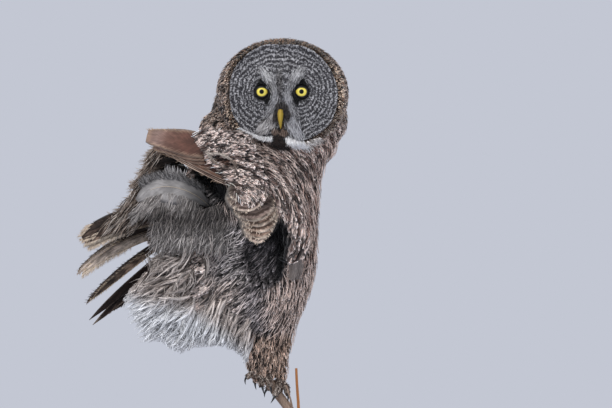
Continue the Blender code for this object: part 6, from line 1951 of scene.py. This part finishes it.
facing = np.tile(np.array((-0.5, -1.0, 0.0)), (count, 1)) + draw.normal(0, 0.3, (count, 3))
half = draw.uniform(0.5, 1.2, (count, 1)) * np.array((0.4, 0.7, 0.9, 1.0, 1.0, 0.85, 0.55, 0.1))
# Painted shade: the dark curls stand for the shade under the pale ones.
tint = np.where(draw.random((count, 1)) < 0.55, colour("#b3a9a2"), colour("#574d47")) * draw.uniform(0.8,
    1.2, (count, 1))
curled = {"ground": tint, "ink": tint * 0.4, "rim": np.clip(tint * 1.4, 0, 0.9),
    "marks": np.tile((0.3, 0.2, 0.6), (count, 1)),
    "chance": draw.random(count)}
woven("curls", centres, facing, half, LEAF, 0.5, 0.35, curled, body_unwrap(points[:, 0]), loose_barb)

# Feet: toes feathered nearly to the claws with short stiff bristly feathers, grey-brown. The claws are
# black curved horn, smooth and a little glossy, and close on the stem.
TOES = (((-22.0, -11.0, 167.0), (-29.0, -13.0, 163.0)), ((-15.0, -13.0, 160.0), (-13.5, -14.5, 153.0)),
    ((-6.0, -11.5, 160.0), (-3.5, -13.0, 153.0)), ((-19.0, 8.0, 164.0), (-21.0, 12.0, 157.0)),
    ((11.0, 12.0, 149.0), (10.0, 14.0, 142.0)), ((2.0, 12.0, 151.0), (-4.0, 13.0, 146.0)),
    ((9.0, -7.5, 146.5), (5.5, -10.5, 139.5)), ((17.0, 1.0, 149.0), (19.5, -2.0, 142.0)))
FOOT_MIDDLES = np.array(((-13.0, -6.0, 162.0), (10.0, 5.0, 153.0)))
TOE_FEATHERS = 120
TOE_RADIUS = 4.4
draw = np.random.default_rng(191)
starts, ways, outs = [], [], []
for number, (bend, end) in enumerate(np.array(TOES)):
    line = np.array((FOOT_MIDDLES[number // 4], bend, end))
    share = draw.random(TOE_FEATHERS) ** 0.9
    at = along_path(line, share)
    way = unit(along_path(line, np.minimum(share + 0.2, 1.0))
        - along_path(line, np.maximum(share - 0.2, 0.0)))
    around = unit(np.cross(way, draw.normal(0, 1, (TOE_FEATHERS, 3))))
    radius = TOE_RADIUS * np.interp(share, (0.0, 0.6, 1.0), (1.25, 1.0, 0.75))
    starts.append(at + around * radius[:, None])
    ways.append(way)
    outs.append(around)
starts, ways, outs = (np.concatenate(v) for v in (starts, ways, outs))
count = len(starts)
lines = lined_up(starts - outs * 0.8, ways + draw.normal(0, 0.12, (count, 3)), outs,
    5.5 * draw.uniform(0.8, 1.2, count), 0.18,
    -0.05, draw.normal(0, 0.15, count), len(LEAF_PROFILE))
tint = np.stack((colour("#8e7f73"), colour("#5b4b41"), colour("#bfb1a5")))[draw.choice(3, count,
    p=(0.45, 0.3, 0.25))]
toe_looks = {"ground": tint, "ink": tint * 0.35, "rim": np.clip(tint * 1.5, 0, 0.9),
    "marks": np.tile((0.5, 0.3, 0.4), (count, 1)), "chance": draw.random(count)}
toes = woven("toe_feathers", lines, outs, draw.uniform(1.0, 1.7, (count, 1)) * LEAF_PROFILE, LEAF, 0.35,
    0.3, toe_looks,
    body_unwrap(starts), contour_vane)

dark_horn, tree = new_finish("claw_horn")
here = add(tree, "TexCoord", give="Object")
growth = add(tree, "TexNoise", {"Vector": here, "Scale": 1100.0, "Detail": 3.0})
tint = add(tree, "Mix", {0: growth, 6: colour("#090808", True), 7: colour("#1d1a19", True)},
    data_type="RGBA", give=2)
relief = add(tree, "Bump", {"Height": growth, "Strength": 0.15, "Distance": 0.0002})
shader = add(tree, "BsdfPrincipled", {"Base Color": tint, "Roughness": 0.28, "Normal": relief, "IOR": 1.54})
add(tree, "OutputMaterial", {0: shader})
toe_skin, tree = new_finish("toe_down")
here = add(tree, "TexCoord", give="Object")
down_grain = add(tree, "TexNoise", {"Vector": here, "Scale": 900.0, "Detail": 4.0})
tint = add(tree, "Mix", {0: down_grain, 6: colour("#2b221d", True), 7: colour("#7d6e63", True)},
    data_type="RGBA", give=2)
relief = add(tree, "Bump", {"Height": down_grain, "Strength": 0.6, "Distance": 0.001})
shader = add(tree, "BsdfPrincipled", {"Base Color": tint, "Roughness": 0.95, "Normal": relief})
add(tree, "OutputMaterial", {0: shader})
for name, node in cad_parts.items():
    if name.endswith("_claw") or name.endswith("_foot"):
        for place in node.material_slots:
            place.material = dark_horn if name.endswith("_claw") else toe_skin

# Perch: a cut length of a young stem with a side shoot and a twig, in smooth grey-brown bark with pale
# breathing pores. The side shoot is this year's, so its bark is still orange.
# Where the shoot's bark starts: metres across, plus a quarter of the height
SHOOT_SIDE = 0.0595
bark, tree = new_finish("young_bark")
here = add(tree, "TexCoord", give="Object")
stretched = add(tree, "VectorMath", {0: here, 1: (700.0, 700.0, 90.0)}, operation="MULTIPLY")
grain = add(tree, "TexNoise", {"Vector": stretched, "Scale": 1.0, "Detail": 4.0})
old_bark = add(tree, "Mix", {0: grain, 6: colour("#5f4c40", True), 7: colour("#b79d88", True)},
    data_type="RGBA", give=2)
new_bark = add(tree, "Mix", {0: grain, 6: colour("#6b3c20", True), 7: colour("#d08a4c", True)},
    data_type="RGBA", give=2)
across, _, up = add(tree, "SeparateXYZ", {0: here}, give=slice(None))
towards_shoot = add(tree, "Math", {0: up, 1: 0.25, 2: across}, operation="MULTIPLY_ADD")
on_shoot = add(tree, "MapRange", {0: towards_shoot, 1: SHOOT_SIDE, 2: SHOOT_SIDE + 0.004},
    interpolation_type="SMOOTHSTEP")
tint = add(tree, "Mix", {0: on_shoot, 6: old_bark, 7: new_bark}, data_type="RGBA", give=2)
relief = add(tree, "Bump", {"Height": grain, "Strength": 0.5, "Distance": 0.0006})
shader = add(tree, "BsdfPrincipled", {"Base Color": tint, "Roughness": 0.8, "Normal": relief})
add(tree, "OutputMaterial", {0: shader})

# Stand: a round base of dark oiled wood and a straight steel rod in black paint.
wood, tree = new_finish("oiled_wood")
here = add(tree, "TexCoord", give="Object")
stretched = add(tree, "VectorMath", {0: here, 1: (10.0, 160.0, 160.0)}, operation="MULTIPLY")
grain = add(tree, "TexNoise", {"Vector": stretched, "Scale": 1.0, "Detail": 6.0})
tint = add(tree, "Mix", {0: grain, 6: colour("#2b1b12", True), 7: colour("#5d4030", True)},
    data_type="RGBA", give=2)
shader = add(tree, "BsdfPrincipled", {"Base Color": tint, "Roughness": 0.42, "Coat Weight": 0.2})
add(tree, "OutputMaterial", {0: shader})

paint, tree = new_finish("black_paint")
here = add(tree, "TexCoord", give="Object")
grain = add(tree, "TexNoise", {"Vector": here, "Scale": 900.0, "Detail": 3.0})
tint = add(tree, "Mix", {0: grain, 6: colour("#0d0d0e", True), 7: colour("#1b1b1d", True)},
    data_type="RGBA", give=2)
shader = add(tree, "BsdfPrincipled", {"Base Color": tint, "Roughness": 0.45})
add(tree, "OutputMaterial", {0: shader})
for name, finish in (("perch_stem", bark), ("stand_base", wood), ("stand_rod", paint)):
    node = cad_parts[name]
    for place in node.material_slots:
        place.material = finish

# Studio: a pale matt floor and three large soft lights, the strongest from the upper left as outdoors
# under cloud, with an even pale surround.
floor = mesh_object("floor", oval(np.zeros(3), np.array((2200.0, 0, 0)), np.array((0, 2200.0, 0)), 96),
    [tuple(range(96))])
floor.location.z = -0.0005
paper, tree = new_finish("studio_paper")
here = add(tree, "TexCoord", give="Object")
mottle = add(tree, "TexNoise", {"Vector": here, "Scale": 6.0, "Detail": 3.0})
tint = add(tree, "Mix", {0: mottle, 6: colour("#c9cdd6", True), 7: colour("#d3d6dd", True)},
    data_type="RGBA", give=2)
shader = add(tree, "BsdfPrincipled", {"Base Color": tint, "Roughness": 0.9})
add(tree, "OutputMaterial", {0: shader})
floor.data.materials.append(paper)
LAMPS = (((-1.6, -2.6, 2.6), 2.2, 70.0), ((2.6, -2.2, 1.4), 1.8, 20.0), ((0.4, 2.4, 2.4), 2.0, 60.0))
for place, size, power in LAMPS:
    lamp_data = bpy.data.lights.new("softbox", "AREA")
    lamp_data.size = size
    lamp_data.energy = power
    lamp = bpy.data.objects.new("softbox", lamp_data)
    lamp.location = place
    lamp.rotation_mode = "QUATERNION"
    lamp.rotation_quaternion = (Vector((0, 0, 0.38)) - Vector(place)).to_track_quat("-Z", "Y")
    bpy.context.scene.collection.objects.link(lamp)
world = bpy.data.worlds.new("studio")
bpy.context.scene.world = world
world.use_nodes = True
world.node_tree.nodes["Background"].inputs[0].default_value = colour("#c3c7d3", True)
world.node_tree.nodes["Background"].inputs[1].default_value = 1.0
bpy.context.scene.view_settings.view_transform = "Standard"
